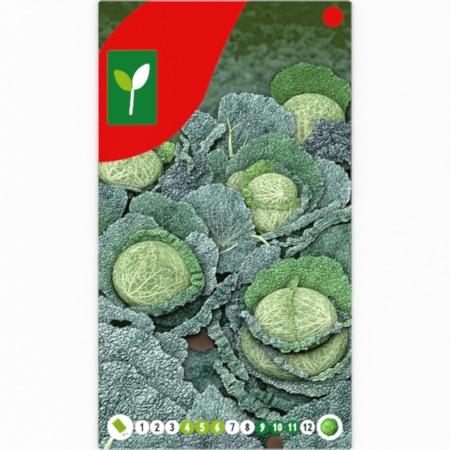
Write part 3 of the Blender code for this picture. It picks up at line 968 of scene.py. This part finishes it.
# ---------------------------------------------------------------- flat graphics over the picture
RED = palette((227, 6, 19))[0]
BADGE_GREEN = palette((0, 129, 56))[0]
SOWING_GREEN = palette((149, 193, 31))[0]
WHITE = palette((255, 255, 255))[0]
BLACK = palette((24, 22, 22))[0]
ICON_GREENS = palette((52, 128, 56), (92, 168, 60), (142, 198, 86))

MONTH_Y = -71.75
MONTH_X = -29.4
MONTH_STEP = 5.335
MONTH_RADIUS = 2.57
SOWING_MONTHS = (4, 5, 6)
HARVEST_MONTHS = (9, 10, 11)
ICON_X = 37.15
ICON_RADIUS = 4.6
# Half the width of a figure's stroke
STROKE = 0.27
SMALL_PACKET = (1.55, 2.35)
BADGE_CENTRE = (-32.95, 48.7)
BADGE_HALF = (8.85, 13.3)
BADGE_CORNER = 0.9
RED_DISC = (38.3, 73.9)
RED_DISC_RADIUS = 3.6
SHARPEN = 0.55
SHARPEN_RADIUS = 0.25

# Each figure is a line through points of a box 1 wide and 1 tall
FIGURES = {
    "0": ((0.5, 1), (0.16, 0.78), (0.12, 0.25), (0.5, 0), (0.88, 0.25), (0.84, 0.78), (0.5, 1)),
    "1": ((0.22, 0.76), (0.58, 1), (0.58, 0)),
    "2": ((0.12, 0.8), (0.34, 1), (0.72, 0.96), (0.84, 0.68), (0.1, 0), (0.92, 0)),
    "3": ((0.12, 0.92), (0.56, 1), (0.84, 0.78), (0.44, 0.54), (0.88, 0.3), (0.56, 0), (0.1, 0.08)),
    "4": ((0.7, 0), (0.7, 1), (0.06, 0.28), (0.96, 0.28)),
    "5": ((0.84, 1), (0.2, 1), (0.16, 0.56), (0.6, 0.62), (0.88, 0.32), (0.56, 0), (0.1, 0.06)),
    "6": ((0.78, 1), (0.3, 0.72), (0.12, 0.28), (0.5, 0), (0.88, 0.28), (0.56, 0.58), (0.16, 0.4)),
    "7": ((0.08, 1), (0.92, 1), (0.4, 0)),
    "8": (
        (0.5, 0.55), (0.16, 0.78), (0.5, 1), (0.84, 0.78), (0.5, 0.55), (0.1, 0.26), (0.5, 0), (0.9, 0.26),
        (0.5, 0.55),
    ),
    "9": ((0.22, 0), (0.7, 0.28), (0.88, 0.72), (0.5, 1), (0.12, 0.72), (0.44, 0.42), (0.84, 0.6)),
}


def line_distance(x, y, points):
    """The distance to a line through the points."""
    nearest = np.full(x.shape, 1e6, np.float32)
    for (x0, y0), (x1, y1) in zip(points, points[1:]):
        dx, dy = x1 - x0, y1 - y0
        share = np.clip(((x - x0) * dx + (y - y0) * dy) / max(dx * dx + dy * dy, 1e-9), 0, 1)
        nearest = np.minimum(nearest, np.hypot(x - x0 - share * dx, y - y0 - share * dy))
    return nearest


def depth_in(x, y, outline):
    """How far inside a closed outline a point is, negative outside it."""
    closed = [*outline, outline[0]]
    odd = np.zeros(x.shape, bool)
    for (x0, y0), (x1, y1) in zip(closed, closed[1:]):
        if y0 != y1:
            crosses = (y0 > y) != (y1 > y)
            odd ^= crosses & (x < (x1 - x0) * (y - y0) / (y1 - y0) + x0)
    distance = line_distance(x, y, closed)
    return np.where(odd, distance, -distance)


def curve(points, steps=6):
    """A smooth line through the points."""
    points = np.array(points, float)
    fine = np.linspace(0, 1, steps * (len(points) - 1) + 1)
    return list(zip(through(points[:, 0], fine), through(points[:, 1], fine)))


def ink(canvas, view, inside, colour):
    """Flat colour where inside, a depth in mm, is above 0."""
    canvas.cover(view, np.clip(inside / FINE + 0.5, 0, 1), colour)


def disc(canvas, centre, radius, colour):
    """A flat round spot."""
    (cx, cy), reach = centre, radius + 1
    view, x, y = canvas.window(cx - reach, cx + reach, cy - reach, cy + reach)
    ink(canvas, view, radius - np.hypot(x - cx, y - cy), colour)


def red_field(canvas):
    """The red field that sweeps down from the top edge to the left edge."""
    upper = curve([
        (-46.5, 57.2), (-45, 60.1), (-42.1, 65.6), (-35.9, 72.7), (-29.8, 77.9), (-26.1, 80),
        (-23.6, 81.5),
    ])
    lower = curve([
        (8.9, 81.5), (8.2, 80), (3.4, 71.1), (-1.3, 60.7), (-4.6, 52.7), (-7.8, 44.1), (-12.6, 37.5),
        (-17.3, 32.4), (-23.2, 28), (-29.5, 25.1), (-37, 23.0), (-44.9, 22.1), (-46.5, 22.0),
    ])
    view, x, y = canvas.window(-46, 11, 20, 81)
    ink(canvas, view, depth_in(x, y, upper + lower), RED)


def badge(canvas):
    """A green badge with a plain seedling on it."""
    view, x, y = canvas.window(-44, -22, 33, 64)
    across = np.abs(x - BADGE_CENTRE[0]) - BADGE_HALF[0] + BADGE_CORNER
    along = np.abs(y - BADGE_CENTRE[1]) - BADGE_HALF[1] + BADGE_CORNER
    beyond = np.hypot(np.maximum(across, 0), np.maximum(along, 0))
    within = np.minimum(np.maximum(across, along), 0)
    ink(canvas, view, BADGE_CORNER - beyond - within, BADGE_GREEN)
    stalk = curve([(-33.4, 39.5), (-33.0, 43.6), (-32.8, 48.0)])
    ink(canvas, view, 0.5 - line_distance(x, y, stalk), WHITE)
    left = curve([
        (-33.0, 47.4), (-36.2, 48.2), (-38.6, 51.2), (-39.2, 54.8), (-35.8, 54.2), (-33.4, 51.4),
        (-32.9, 47.4),
    ])
    right = curve([
        (-32.6, 47.8), (-29.6, 48.9), (-27.4, 52.2), (-27.0, 57.0), (-30.4, 55.6), (-32.6, 52.2),
        (-32.7, 47.8),
    ])
    ink(canvas, view, depth_in(x, y, left), SOWING_GREEN)
    ink(canvas, view, depth_in(x, y, right), WHITE)


def figure(canvas, text, centre, height, colour):
    """A plain number."""
    width = 0.56 * height
    step = width + 0.42
    view, x, y = canvas.window(centre[0] - 3, centre[0] + 3, centre[1] - 3, centre[1] + 3)
    for place, sign in enumerate(text):
        left = centre[0] + (place - (len(text) - 1) / 2) * step - width / 2
        points = [(left + px * width, centre[1] + (py - 0.5) * height) for px, py in FIGURES[sign]]
        ink(canvas, view, STROKE - line_distance(x, y, points), colour)


def calendar(canvas):
    """The twelve months in a row, with those for sowing and those for harvest in colour."""
    for month in range(1, 13):
        centre = (MONTH_X + MONTH_STEP * (month - 1), MONTH_Y)
        paper, figures = WHITE, BLACK
        if month in SOWING_MONTHS:
            paper, figures = SOWING_GREEN, WHITE
        if month in HARVEST_MONTHS:
            paper, figures = BADGE_GREEN, WHITE
        disc(canvas, centre, MONTH_RADIUS, paper)
        height = 2.5 if month < 10 else 2.3
        figure(canvas, str(month), centre, height, figures)


def sowing_icon(canvas):
    """A packet tipped to pour seeds, on a white disc."""
    disc(canvas, (-ICON_X, MONTH_Y), ICON_RADIUS, WHITE)
    view, x, y = canvas.window(-43, -31, -78, -66)
    turn = math.radians(-40)
    cx, cy = -ICON_X - 0.4, MONTH_Y + 0.5
    u = (x - cx) * math.cos(turn) - (y - cy) * math.sin(turn)
    v = (x - cx) * math.sin(turn) + (y - cy) * math.cos(turn)
    inside = np.minimum(SMALL_PACKET[0] - np.abs(u), SMALL_PACKET[1] - np.abs(v))
    ink(canvas, view, inside, SOWING_GREEN * (0.92 + 0.08 * smooth(v / 3))[..., None])
    draw = random.Random(3)
    for _ in range(9):
        spot = (-ICON_X + draw.uniform(0.9, 2.9), MONTH_Y - draw.uniform(1.3, 3.2))
        disc(canvas, spot, draw.uniform(0.12, 0.2), BADGE_GREEN)


def harvest_icon(canvas):
    """A cabbage on a white disc."""
    centre = (ICON_X, MONTH_Y)
    disc(canvas, centre, ICON_RADIUS, WHITE)
    view, x, y = canvas.window(32, 43, -78, -66)
    dx, dy = x - centre[0], y - centre[1]
    shade = np.clip(0.98 + 0.06 * (dy - dx) + 0.2 * noise(x * 1.5, y * 1.5, 8), 0.6, 1.2)[..., None]
    for colour, size, shift in zip(ICON_GREENS, (3.2, 2.75, 2.05), (0.0, -0.35, -0.75)):
        across = dx - shift
        wavy = size + 0.16 * noise(3.5 * np.arctan2(dy, across) + 9, np.full_like(x, size), 4)
        ink(canvas, view, wavy - np.hypot(across, dy), np.clip(colour * shade, 0, 1))


def sharpen(canvas):
    """The crisp look that a picture is given for print."""
    soft = blur(canvas.colour, SHARPEN_RADIUS)
    canvas.colour = np.clip(canvas.colour + SHARPEN * (canvas.colour - soft), 0, 1)


def packet_print():
    """The whole print of the front."""
    canvas = Canvas()
    cabbage_field(canvas)
    sharpen(canvas)
    red_field(canvas)
    badge(canvas)
    disc(canvas, RED_DISC, RED_DISC_RADIUS, RED)
    calendar(canvas)
    sowing_icon(canvas)
    harvest_icon(canvas)
    return canvas.colour


# ---------------------------------------------------------------- materials
def new_material(name):
    """A material, and functions that add a node to it and join two of its sockets."""
    made = bpy.data.materials.new(name)
    made.use_nodes = True
    tree = made.node_tree

    def add(kind, **settings):
        node = tree.nodes.new(kind)
        for key, value in settings.items():
            if hasattr(node, key):
                setattr(node, key, value)
            else:
                node.inputs[key.replace("_", " ")].default_value = value
        return node

    def link(source, target):
        tree.links.new(source, target)

    return made, tree.nodes["Principled BSDF"], add, link


def noise_node(add, link, scale, detail=4.0, roughness=0.6):
    """Noise in the object's own metres."""
    place = add("ShaderNodeTexCoord")
    texture = add("ShaderNodeTexNoise", Scale=scale, Detail=detail, Roughness=roughness)
    link(place.outputs["Object"], texture.inputs["Vector"])
    return texture


def mixed(add, link, factor, first, second):
    """A colour between two colours."""
    mix = add("ShaderNodeMix", data_type="RGBA")
    mix.inputs[6].default_value = (*first, 1.0)
    mix.inputs[7].default_value = (*second, 1.0)
    link(factor, mix.inputs[0])
    return mix.outputs[2]


def tinted(add, link, shader, texture, first, second):
    """Base colour between two colours, as the noise goes."""
    link(mixed(add, link, texture.outputs["Fac"], first, second), shader.inputs["Base Color"])


def roughened(add, link, shader, texture, low, high):
    """Roughness between two values, as the noise goes."""
    spread = add("ShaderNodeMapRange")
    spread.inputs["To Min"].default_value = low
    spread.inputs["To Max"].default_value = high
    link(texture.outputs["Fac"], spread.inputs["Value"])
    link(spread.outputs["Result"], shader.inputs["Roughness"])


def bumped(add, link, shader, height, distance, strength):
    """Fine relief in the surface."""
    bump = add("ShaderNodeBump", Strength=strength, Distance=distance)
    link(height, bump.inputs["Height"])
    link(bump.outputs["Normal"], shader.inputs["Normal"])


def print_material():
    """Ink under a satin varnish: the painted colours, with the paper's grain showing a little in them."""
    made, shader, add, link = new_material("front_print")
    colours = add("ShaderNodeVertexColor", layer_name="print")
    grain = noise_node(add, link, 2600.0, 3.0)
    cloud = noise_node(add, link, 90.0, 3.0)
    speck = add("ShaderNodeMix", data_type="RGBA", blend_type="MULTIPLY")
    speck.inputs[0].default_value = 1.0
    link(colours.outputs["Color"], speck.inputs[6])
    link(mixed(add, link, grain.outputs["Fac"], (0.96, 0.96, 0.96), (1.04, 1.04, 1.04)), speck.inputs[7])
    link(speck.outputs[2], shader.inputs["Base Color"])
    roughened(add, link, shader, cloud, 0.36, 0.5)
    shader.inputs["Specular IOR Level"].default_value = 0.06
    bumped(add, link, shader, grain.outputs["Fac"], 0.00002, 0.5)
    return made


def paper_material():
    """Uncoated white paper with short fibres."""
    made, shader, add, link = new_material("white_paper")
    fibre = noise_node(add, link, 1500.0, 6.0, 0.7)
    cloud = noise_node(add, link, 60.0, 4.0)
    tinted(add, link, shader, cloud, (0.80, 0.80, 0.77), (0.88, 0.88, 0.86))
    roughened(add, link, shader, fibre, 0.5, 0.75)
    bumped(add, link, shader, fibre.outputs["Fac"], 0.00004, 0.6)
    return made


def foil_material():
    """Aluminium laminate, brushed by the rollers and a little crumpled."""
    made, shader, add, link = new_material("foil_laminate")
    crumple = noise_node(add, link, 260.0, 6.0, 0.55)
    cloud = noise_node(add, link, 40.0, 3.0)
    tinted(add, link, shader, cloud, (0.66, 0.67, 0.69), (0.80, 0.80, 0.80))
    roughened(add, link, shader, crumple, 0.2, 0.42)
    shader.inputs["Metallic"].default_value = 1.0
    bumped(add, link, shader, crumple.outputs["Fac"], 0.0002, 0.7)
    return made


def gum_material():
    """Dried gum, yellowish, with small bubbles."""
    made, shader, add, link = new_material("dried_gum")
    cloud = noise_node(add, link, 300.0, 4.0)
    bubble = add("ShaderNodeTexVoronoi", Scale=900.0)
    place = add("ShaderNodeTexCoord")
    link(place.outputs["Object"], bubble.inputs["Vector"])
    tinted(add, link, shader, cloud, (0.66, 0.58, 0.36), (0.84, 0.79, 0.60))
    roughened(add, link, shader, cloud, 0.3, 0.55)
    bumped(add, link, shader, bubble.outputs["Distance"], 0.00005, 0.6)
    return made


def seed_material():
    """The pitted coat of a brassica seed, dark brown with a redder cast in places."""
    made, shader, add, link = new_material("seed_coat")
    cloud = noise_node(add, link, 900.0, 4.0)
    pits = add("ShaderNodeTexVoronoi", Scale=7000.0)
    place = add("ShaderNodeTexCoord")
    link(place.outputs["Object"], pits.inputs["Vector"])
    tinted(add, link, shader, cloud, (0.035, 0.014, 0.010), (0.18, 0.075, 0.04))
    roughened(add, link, shader, cloud, 0.45, 0.7)
    bumped(add, link, shader, pits.outputs["Distance"], 0.00006, 0.8)
    return made


def floor_material():
    """The plain pale floor of a photo studio."""
    made, shader, add, link = new_material("studio_floor")
    cloud = noise_node(add, link, 2.0, 2.0)
    tinted(add, link, shader, cloud, (0.90, 0.90, 0.90), (0.93, 0.93, 0.93))
    shader.inputs["Roughness"].default_value = 0.8
    shader.inputs["Specular IOR Level"].default_value = 0.1
    return made


# ---------------------------------------------------------------- meshes
# The packet as it is folded. Heights are of the middle of the paper in each layer.
PAPER = 0.16 * MM
FLAP_Z = 0.08 * MM
RIGHT_WING_Z = 0.36 * MM
LEFT_WING_Z = 0.64 * MM
FRONT_EDGE_Z = 1.10 * MM
CORNER_NICK = 0.9 * MM
SEAM_OVERLAP = 12.0 * MM
TOP_FLAP = 24.0 * MM
BOTTOM_FLAP = 16.0 * MM
FLAP_TAPER = 6.0 * MM
WING_TAPER = 2.0 * MM
FOLD_STEPS = 12
# The front panel is highest at PILLOW_Y, over the sachet, and has shallow dents
PILLOW_Y = -12.0 * MM
PILLOW_RUN = 0.6
DENT = 0.14 * MM
PAPER_PITCH = 1.25 * MM
# The film of ink: its height over the paper, its mesh, and what makes up for the light on its varnish
INK = 0.015 * MM
PRINT_PITCH = 0.25 * MM
INK_DARKENED_FOR_LIGHT = 0.94
SHEEN = 0.011

packet_low, packet_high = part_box("paper_envelope")
FRONT_TOP_Z = packet_high.z - PAPER / 2


def fold_radius(drop_to):
    """The outer radius of the fold between the front panel and a layer behind it."""
    return (FRONT_EDGE_Z - drop_to) / 2 + PAPER / 2


LEFT = packet_low.x + fold_radius(LEFT_WING_Z)
RIGHT = packet_high.x - fold_radius(RIGHT_WING_Z)
END = packet_high.y - fold_radius(FLAP_Z)
FLAP_HALF = packet_high.x - CORNER_NICK
WING_HALF = packet_high.y - CORNER_NICK


def pillow(x, y, left, right, bottom, top, middle, run):
    """1 over the middle of a rectangle, falling smoothly to 0 at its sides."""
    across = np.minimum(x - left, right - x) / (run * (right - left) / 2)
    along = np.minimum((y - bottom) / (run * (middle - bottom)), (top - y) / (run * (top - middle)))
    return smooth(across) * smooth(along)


def front_height(x, y):
    """The middle of the front panel's paper, crowned over the sachet and very slightly uneven."""
    crown = pillow(x, y, LEFT, RIGHT, -END, END, PILLOW_Y, PILLOW_RUN)
    dents = 0.5 + 0.5 * clouds(x / (21 * MM) + 3, y / (26 * MM) + 8, 17, 2)
    return FRONT_EDGE_Z + (FRONT_TOP_Z - FRONT_EDGE_Z) * crown - DENT * np.clip(dents, 0, 1) * crown


def mesh_object(name, points, faces, finish):
    """A smooth mesh in the scene; main sets it riding on the packet's one body."""
    mesh = bpy.data.meshes.new(name)
    mesh.from_pydata(np.asarray(points).tolist(), [], np.asarray(faces).tolist())
    mesh.materials.append(finish)
    mesh.shade_smooth()
    made = bpy.data.objects.new(name, mesh)
    bpy.context.scene.collection.objects.link(made)
    return made


def apply_thickness(sheet, thickness):
    """Make a sheet solid, half of its thickness on each side."""
    solidify = sheet.modifiers.new("thickness", "SOLIDIFY")
    solidify.thickness = thickness
    solidify.offset = 0.0
    solidify.use_even_offset = True
    graph = bpy.context.evaluated_depsgraph_get()
    solid = bpy.data.meshes.new_from_object(sheet.evaluated_get(graph))
    sheet.modifiers.clear()
    sheet.data = solid
    sheet.data.set_sharp_from_angle(angle=math.radians(40))


def stacked(x, y, z):
    """A list of points from three grids of numbers."""
    return np.stack([x, y, z], -1).reshape(-1, 3)


def lattice(columns, rows):
    """Quads over a grid whose points are numbered row by row."""
    i, j = np.meshgrid(np.arange(columns - 1), np.arange(rows - 1))
    corner = (j * columns + i).ravel()
    return np.stack([corner, corner + 1, corner + columns + 1, corner + columns], 1)


def wrapped(flat, low, high, low_radius, high_radius):
    """Where points of the flat sheet go: (place, drop) along one axis, round the folds at low and high."""
    place, drop = flat.copy(), np.zeros_like(flat)
    before, after = flat < low, flat > high
    turn = (low - flat[before]) / low_radius
    place[before], drop[before] = low - low_radius * np.sin(turn), low_radius * (1 - np.cos(turn))
    turn = (flat[after] - high) / high_radius
    place[after], drop[after] = high + high_radius * np.sin(turn), high_radius * (1 - np.cos(turn))
    return place, drop


def sheet_marks(low, high, low_radius, high_radius):
    """Evenly spaced places along the flat sheet, from the far side of one fold to that of the other."""
    start, end = low - math.pi * low_radius, high + math.pi * high_radius
    before = np.linspace(start, low, 7)
    inner = np.linspace(low, high, int((high - low) / PRINT_PITCH) + 1)
    after = np.linspace(high, end, 7)
    return np.concatenate([before[:-1], inner, after[1:]])


def sampled(picture, x, y):
    """The picture's colours at places on the sheet, in metres."""
    column = np.clip((x / MM + HALF_W) / FINE - 0.5, 0, picture.shape[1] - 1.001)
    row = np.clip((y / MM + HALF_H) / FINE - 0.5, 0, picture.shape[0] - 1.001)
    i, j = column.astype(int), row.astype(int)
    s, t = (column - i)[..., None], (row - j)[..., None]
    low = picture[j, i] * (1 - s) + picture[j, i + 1] * s
    high = picture[j + 1, i] * (1 - s) + picture[j + 1, i + 1] * s
    return low * (1 - t) + high * t


def linear(colour):
    """Light for a display colour."""
    return np.where(colour <= 0.04045, colour / 12.92, ((colour + 0.055) / 1.055) ** 2.4)


def front_print(picture, finish):
    """The print: a film on the front panel that goes on round the four folds."""
    radii = [fold_radius(z) + INK for z in (LEFT_WING_Z, RIGHT_WING_Z, FLAP_Z)]
    across = sheet_marks(LEFT, RIGHT, radii[0], radii[1])
    along = sheet_marks(-END, END, radii[2], radii[2])
    x, drop_x = wrapped(across, LEFT, RIGHT, radii[0], radii[1])
    y, drop_y = wrapped(along, -END, END, radii[2], radii[2])
    flat_x, flat_y = np.meshgrid(across, along)
    place_x, place_y = np.meshgrid(x, y)
    height = front_height(np.clip(place_x, LEFT, RIGHT), np.clip(place_y, -END, END)) + PAPER / 2 + INK
    height = height - drop_x[None, :] - drop_y[:, None]
    points = stacked(place_x, place_y, height)
    faces = lattice(len(across), len(along))
    centre_x, centre_y = flat_x.ravel()[faces].mean(1), flat_y.ravel()[faces].mean(1)
    on_wing = ((centre_x < LEFT) | (centre_x > RIGHT)) & (np.abs(centre_y) > WING_HALF)
    on_flap = (np.abs(centre_y) > END) & (np.abs(centre_x) > FLAP_HALF)
    faces = faces[~(on_wing | on_flap)]
    used = np.unique(faces)
    number = np.zeros(len(points), int)
    number[used] = np.arange(len(used))
    film = mesh_object("front_print", points[used], number[faces], finish)
    colours = np.ones((len(used), 4), np.float32)
    light = linear(np.clip(sampled(picture, flat_x, flat_y).reshape(-1, 3)[used], 0, 1))
    # the print's colours are painted darker and lower, to make up for the studio light and the sheen of the
    # varnish
    colours[:, :3] = np.clip(INK_DARKENED_FOR_LIGHT * light - SHEEN, 0, 1)
    layer = film.data.color_attributes.new(name="print", type="FLOAT_COLOR", domain="POINT")
    layer.data.foreach_set("color", colours.ravel())
    shares = np.stack([
        (flat_x.ravel()[used] - across[0]) / (across[-1] - across[0]),
        (flat_y.ravel()[used] - along[0]) / (along[-1] - along[0]),
    ], 1)
    corners = np.zeros(len(film.data.loops), np.int32)
    film.data.loops.foreach_get("vertex_index", corners)
    uv = film.data.uv_layers.new(name="OFBake")
    uv.data.foreach_set("uv", shares[corners].ravel())
    return film


def fold_profile(drop_to, reach, steps):
    """(outward, height, share) of the paper from the front panel's edge round a fold and back in."""
    radius = (FRONT_EDGE_Z - drop_to) / 2
    middle = (FRONT_EDGE_Z + drop_to) / 2
    turn = [math.pi * i / FOLD_STEPS for i in range(1, FOLD_STEPS + 1)]
    bend = [(radius * math.sin(a), middle + radius * math.cos(a), 0.0) for a in turn]
    flat = [(-reach * i / steps, drop_to, i / steps) for i in range(1, steps + 1)]
    return bend + flat


def envelope_paper(finish):
    """The paper sheet: front panel, two side wings that lap at the back, and two end flaps."""
    inner_x = np.linspace(-FLAP_HALF, FLAP_HALF, int(2 * FLAP_HALF / PAPER_PITCH))
    inner_y = np.linspace(-WING_HALF, WING_HALF, int(2 * WING_HALF / PAPER_PITCH))
    xs = np.concatenate([[LEFT], inner_x, [RIGHT]])
    ys = np.concatenate([[-END], inner_y, [END]])
    grid_x, grid_y = np.meshgrid(xs, ys)
    panel = stacked(grid_x, grid_y, front_height(grid_x, grid_y))
    points = [panel]
    faces = [lattice(len(xs), len(ys))]
    count = len(panel)

    def add_strip(edge, profile, place, flip):
        nonlocal count
        edge = np.asarray(edge)
        rows = [place(panel[edge], *step) for step in profile]
        numbers = np.concatenate([edge, count + np.arange(len(rows) * len(edge))])
        quads = numbers[lattice(len(edge), len(rows) + 1)]
        faces.append(quads[:, ::-1] if flip else quads)
        points.extend(rows)
        count += len(rows) * len(edge)

    def wing(side, x_edge):
        def place(start, outward, height, share):
            y = start[:, 1] * (1 - share * WING_TAPER / WING_HALF)
            return np.stack([np.full_like(y, x_edge + side * outward), y, np.full_like(y, height)], 1)

        return place

    def flap(side):
        def place(start, outward, height, share):
            x = start[:, 0] * (1 - share * FLAP_TAPER / FLAP_HALF)
            return np.stack([x, np.full_like(x, side * (END + outward)), np.full_like(x, height)], 1)

        return place

    rows, columns = np.arange(1, len(ys) - 1), np.arange(1, len(xs) - 1)
    lap = SEAM_OVERLAP / 2
    last = (len(ys) - 1) * len(xs)
    add_strip(rows * len(xs), fold_profile(LEFT_WING_Z, lap - LEFT, 24), wing(-1, LEFT), False)
    add_strip((rows + 1) * len(xs) - 1, fold_profile(RIGHT_WING_Z, RIGHT + lap, 24), wing(1, RIGHT), True)
    add_strip(columns, fold_profile(FLAP_Z, BOTTOM_FLAP, 8), flap(-1), True)
    add_strip(last + columns, fold_profile(FLAP_Z, TOP_FLAP, 8), flap(1), False)
    points, faces = np.concatenate(points), np.concatenate(faces)
    sheet = mesh_object("envelope_paper", points, faces, finish)
    apply_thickness(sheet, PAPER)
    return sheet


def gum_strip(node, finish):
    """A strip of gum in its CAD solid's place, with uneven edges."""
    low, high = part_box(node)
    size = high - low
    columns, rows = int(size.x / (0.8 * MM)) + 2, int(size.y / (0.8 * MM)) + 2
    u, v = np.meshgrid(np.linspace(-1, 1, columns), np.linspace(-1, 1, rows))
    ragged_x = 1 - 0.35 * MM / size.x * (1 + noise(v * size.y / (3 * MM), u * 0 + 1.5, 21))
    ragged_y = 1 - 0.35 * MM / size.y * (1 + noise(u * size.x / (3 * MM), v * 0 + 4.5, 22))
    x = (low.x + high.x) / 2 + u * ragged_x * size.x / 2
    y = (low.y + high.y) / 2 + v * ragged_y * size.y / 2
    z = np.full_like(x, (low.z + high.z) / 2)
    made = mesh_object(node + "_film", stacked(x, y, z), lattice(columns, rows), finish)
    apply_thickness(made, size.z)
    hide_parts(node)
    return made


SEAL = 6.0 * MM
FOIL = 0.12 * MM
CRIMP = 0.05 * MM
CRIMP_PITCH = 1.0 * MM


def crimped(x, y, low, high):
    """Fine ribs across the seals, and none over the pocket."""
    inside = np.minimum.reduce([x - low.x, high.x - x, y - low.y, high.y - y])
    ribs = np.sin(2 * math.pi * y / CRIMP_PITCH)
    return CRIMP * ribs * (1 - smooth((inside - SEAL + 0.6 * MM) / (0.6 * MM)))


def foil_web(node, name, finish):
    """One web of the sachet: flat and crimped at its seals, domed over the seeds if it is the front one."""
    low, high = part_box(node)
    columns, rows = int((high.x - low.x) / (0.6 * MM)), int((high.y - low.y) / (0.25 * MM))
    x, y = np.meshgrid(np.linspace(low.x, high.x, columns), np.linspace(low.y, high.y, rows))
    base = low.z + FOIL / 2
    rise = max(0.0, high.z - low.z - FOIL)
    middle = (low.y + high.y) / 2
    dome_shape = pillow(x, y, low.x + SEAL, high.x - SEAL, low.y + SEAL, high.y - SEAL, middle, 0.4)
    crumple = 0.5 * clouds(x / (7 * MM), y / (7 * MM), 33, 3) - 0.5
    z = base + rise * dome_shape + 0.12 * MM * crumple * dome_shape * (rise > 0) + crimped(x, y, low, high)
    web = mesh_object(name, stacked(x, y, z), lattice(columns, rows), finish)
    apply_thickness(web, FOIL * 0.8)
    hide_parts(node)
    return web


def seed_pattern(finish):
    """One brassica seed: nearly round, with a scar where it grew and a faint ridge."""
    bpy.ops.mesh.primitive_ico_sphere_add(subdivisions=4, radius=1.0)
    pattern = bpy.context.object
    mesh = pattern.data
    bpy.data.objects.remove(pattern)
    mesh.name = "brassica_seed"
    spots = np.zeros(len(mesh.vertices) * 3, np.float32)
    mesh.vertices.foreach_get("co", spots)
    spots = spots.reshape(-1, 3)
    scar = np.exp(-((1 - spots[:, 2]) / 0.05) ** 2)
    ridge = np.exp(-(spots[:, 0] / 0.12) ** 2) * np.clip(spots[:, 2], 0, 1)
    pits = noise(spots[:, 0] * 9 + 20, spots[:, 1] * 9 + 20 + 5 * spots[:, 2], 3)
    reach = 0.955 - 0.07 * scar + 0.03 * ridge + 0.012 * pits
    mesh.vertices.foreach_set("co", (spots * reach[:, None] * (0.97, 1.0, 0.95)).ravel())
    mesh.materials.append(finish)
    mesh.shade_smooth()
    return mesh


def seeds(finish):
    """Every seed in the place of its CAD solid, each turned its own way."""
    pattern = seed_pattern(finish)
    draw = random.Random(8)
    made = []
    for node in sorted(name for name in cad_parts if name.startswith("seed_")):
        low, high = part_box(node)
        piece = bpy.data.objects.new("brassica_" + node, pattern)
        piece.location = (low + high) / 2
        piece.scale = [min(high - low) / 2] * 3
        piece.rotation_euler = [draw.uniform(0, math.tau) for _ in range(3)]
        bpy.context.scene.collection.objects.link(piece)
        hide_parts(node)
        made.append(piece)
    return made


# ---------------------------------------------------------------- studio
WORLD_LIGHT = 0.85
KEY_LIGHT = 2.2
FILL_LIGHT = 1.15
FRAME_MARGIN = -0.1 * MM


def area_light(name, place, size, energy):
    """A square soft light that faces the packet."""
    lamp = bpy.data.lights.new(name, "AREA")
    lamp.shape = "SQUARE"
    lamp.size = size
    lamp.energy = energy
    made = bpy.data.objects.new(name, lamp)
    made.location = place
    made.rotation_mode = "QUATERNION"
    made.rotation_quaternion = made.location.to_track_quat("Z", "Y")
    bpy.context.scene.collection.objects.link(made)


def studio():
    """A pale floor, soft light from both sides and above, and a camera straight over the packet."""
    scene = bpy.context.scene
    scene.view_settings.view_transform = "Standard"
    world = bpy.data.worlds.new("studio")
    world.use_nodes = True
    world.node_tree.nodes["Background"].inputs["Color"].default_value = (1.0, 1.0, 1.0, 1.0)
    world.node_tree.nodes["Background"].inputs["Strength"].default_value = WORLD_LIGHT
    scene.world = world
    reach = 3.0
    corners = [(-reach, -reach, 0), (reach, -reach, 0), (reach, reach, 0), (-reach, reach, 0)]
    mesh = bpy.data.meshes.new("floor")
    mesh.from_pydata(corners, [], [(0, 1, 2, 3)])
    mesh.materials.append(floor_material())
    floor = bpy.data.objects.new("floor", mesh)
    scene.collection.objects.link(floor)
    area_light("key", (-0.75, 0.45, 0.75), 0.6, KEY_LIGHT)
    area_light("fill", (0.8, 0.1, 0.7), 0.7, FILL_LIGHT)
    area_light("front", (0.0, -0.85, 0.7), 0.7, FILL_LIGHT)
    lens = bpy.data.cameras.new("camera")
    lens.lens = 100.0
    lens.sensor_width = 36.0
    camera = bpy.data.objects.new("camera", lens)
    shown = packet_high.y - packet_low.y + 2 * FRAME_MARGIN
    camera.location = (0.0, 0.0, FRONT_EDGE_Z + shown * lens.lens / lens.sensor_width)
    scene.collection.objects.link(camera)
    scene.camera = camera


def main():
    paper = envelope_paper(paper_material())
    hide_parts("paper_envelope")
    film = front_print(packet_print(), print_material())
    gum_finish = gum_material()
    gums = [gum_strip(node, gum_finish) for node in ("top_flap_gum", "bottom_flap_gum", "back_seam_gum")]
    foil = foil_material()
    webs = [
        foil_web("foil_sachet_back", "sachet_back_web", foil),
        foil_web("foil_sachet_front", "sachet_front_web", foil),
    ]
    for piece in [paper, film, *gums, *webs, *seeds(seed_material())]:
        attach(piece, "root")
    studio()


main()
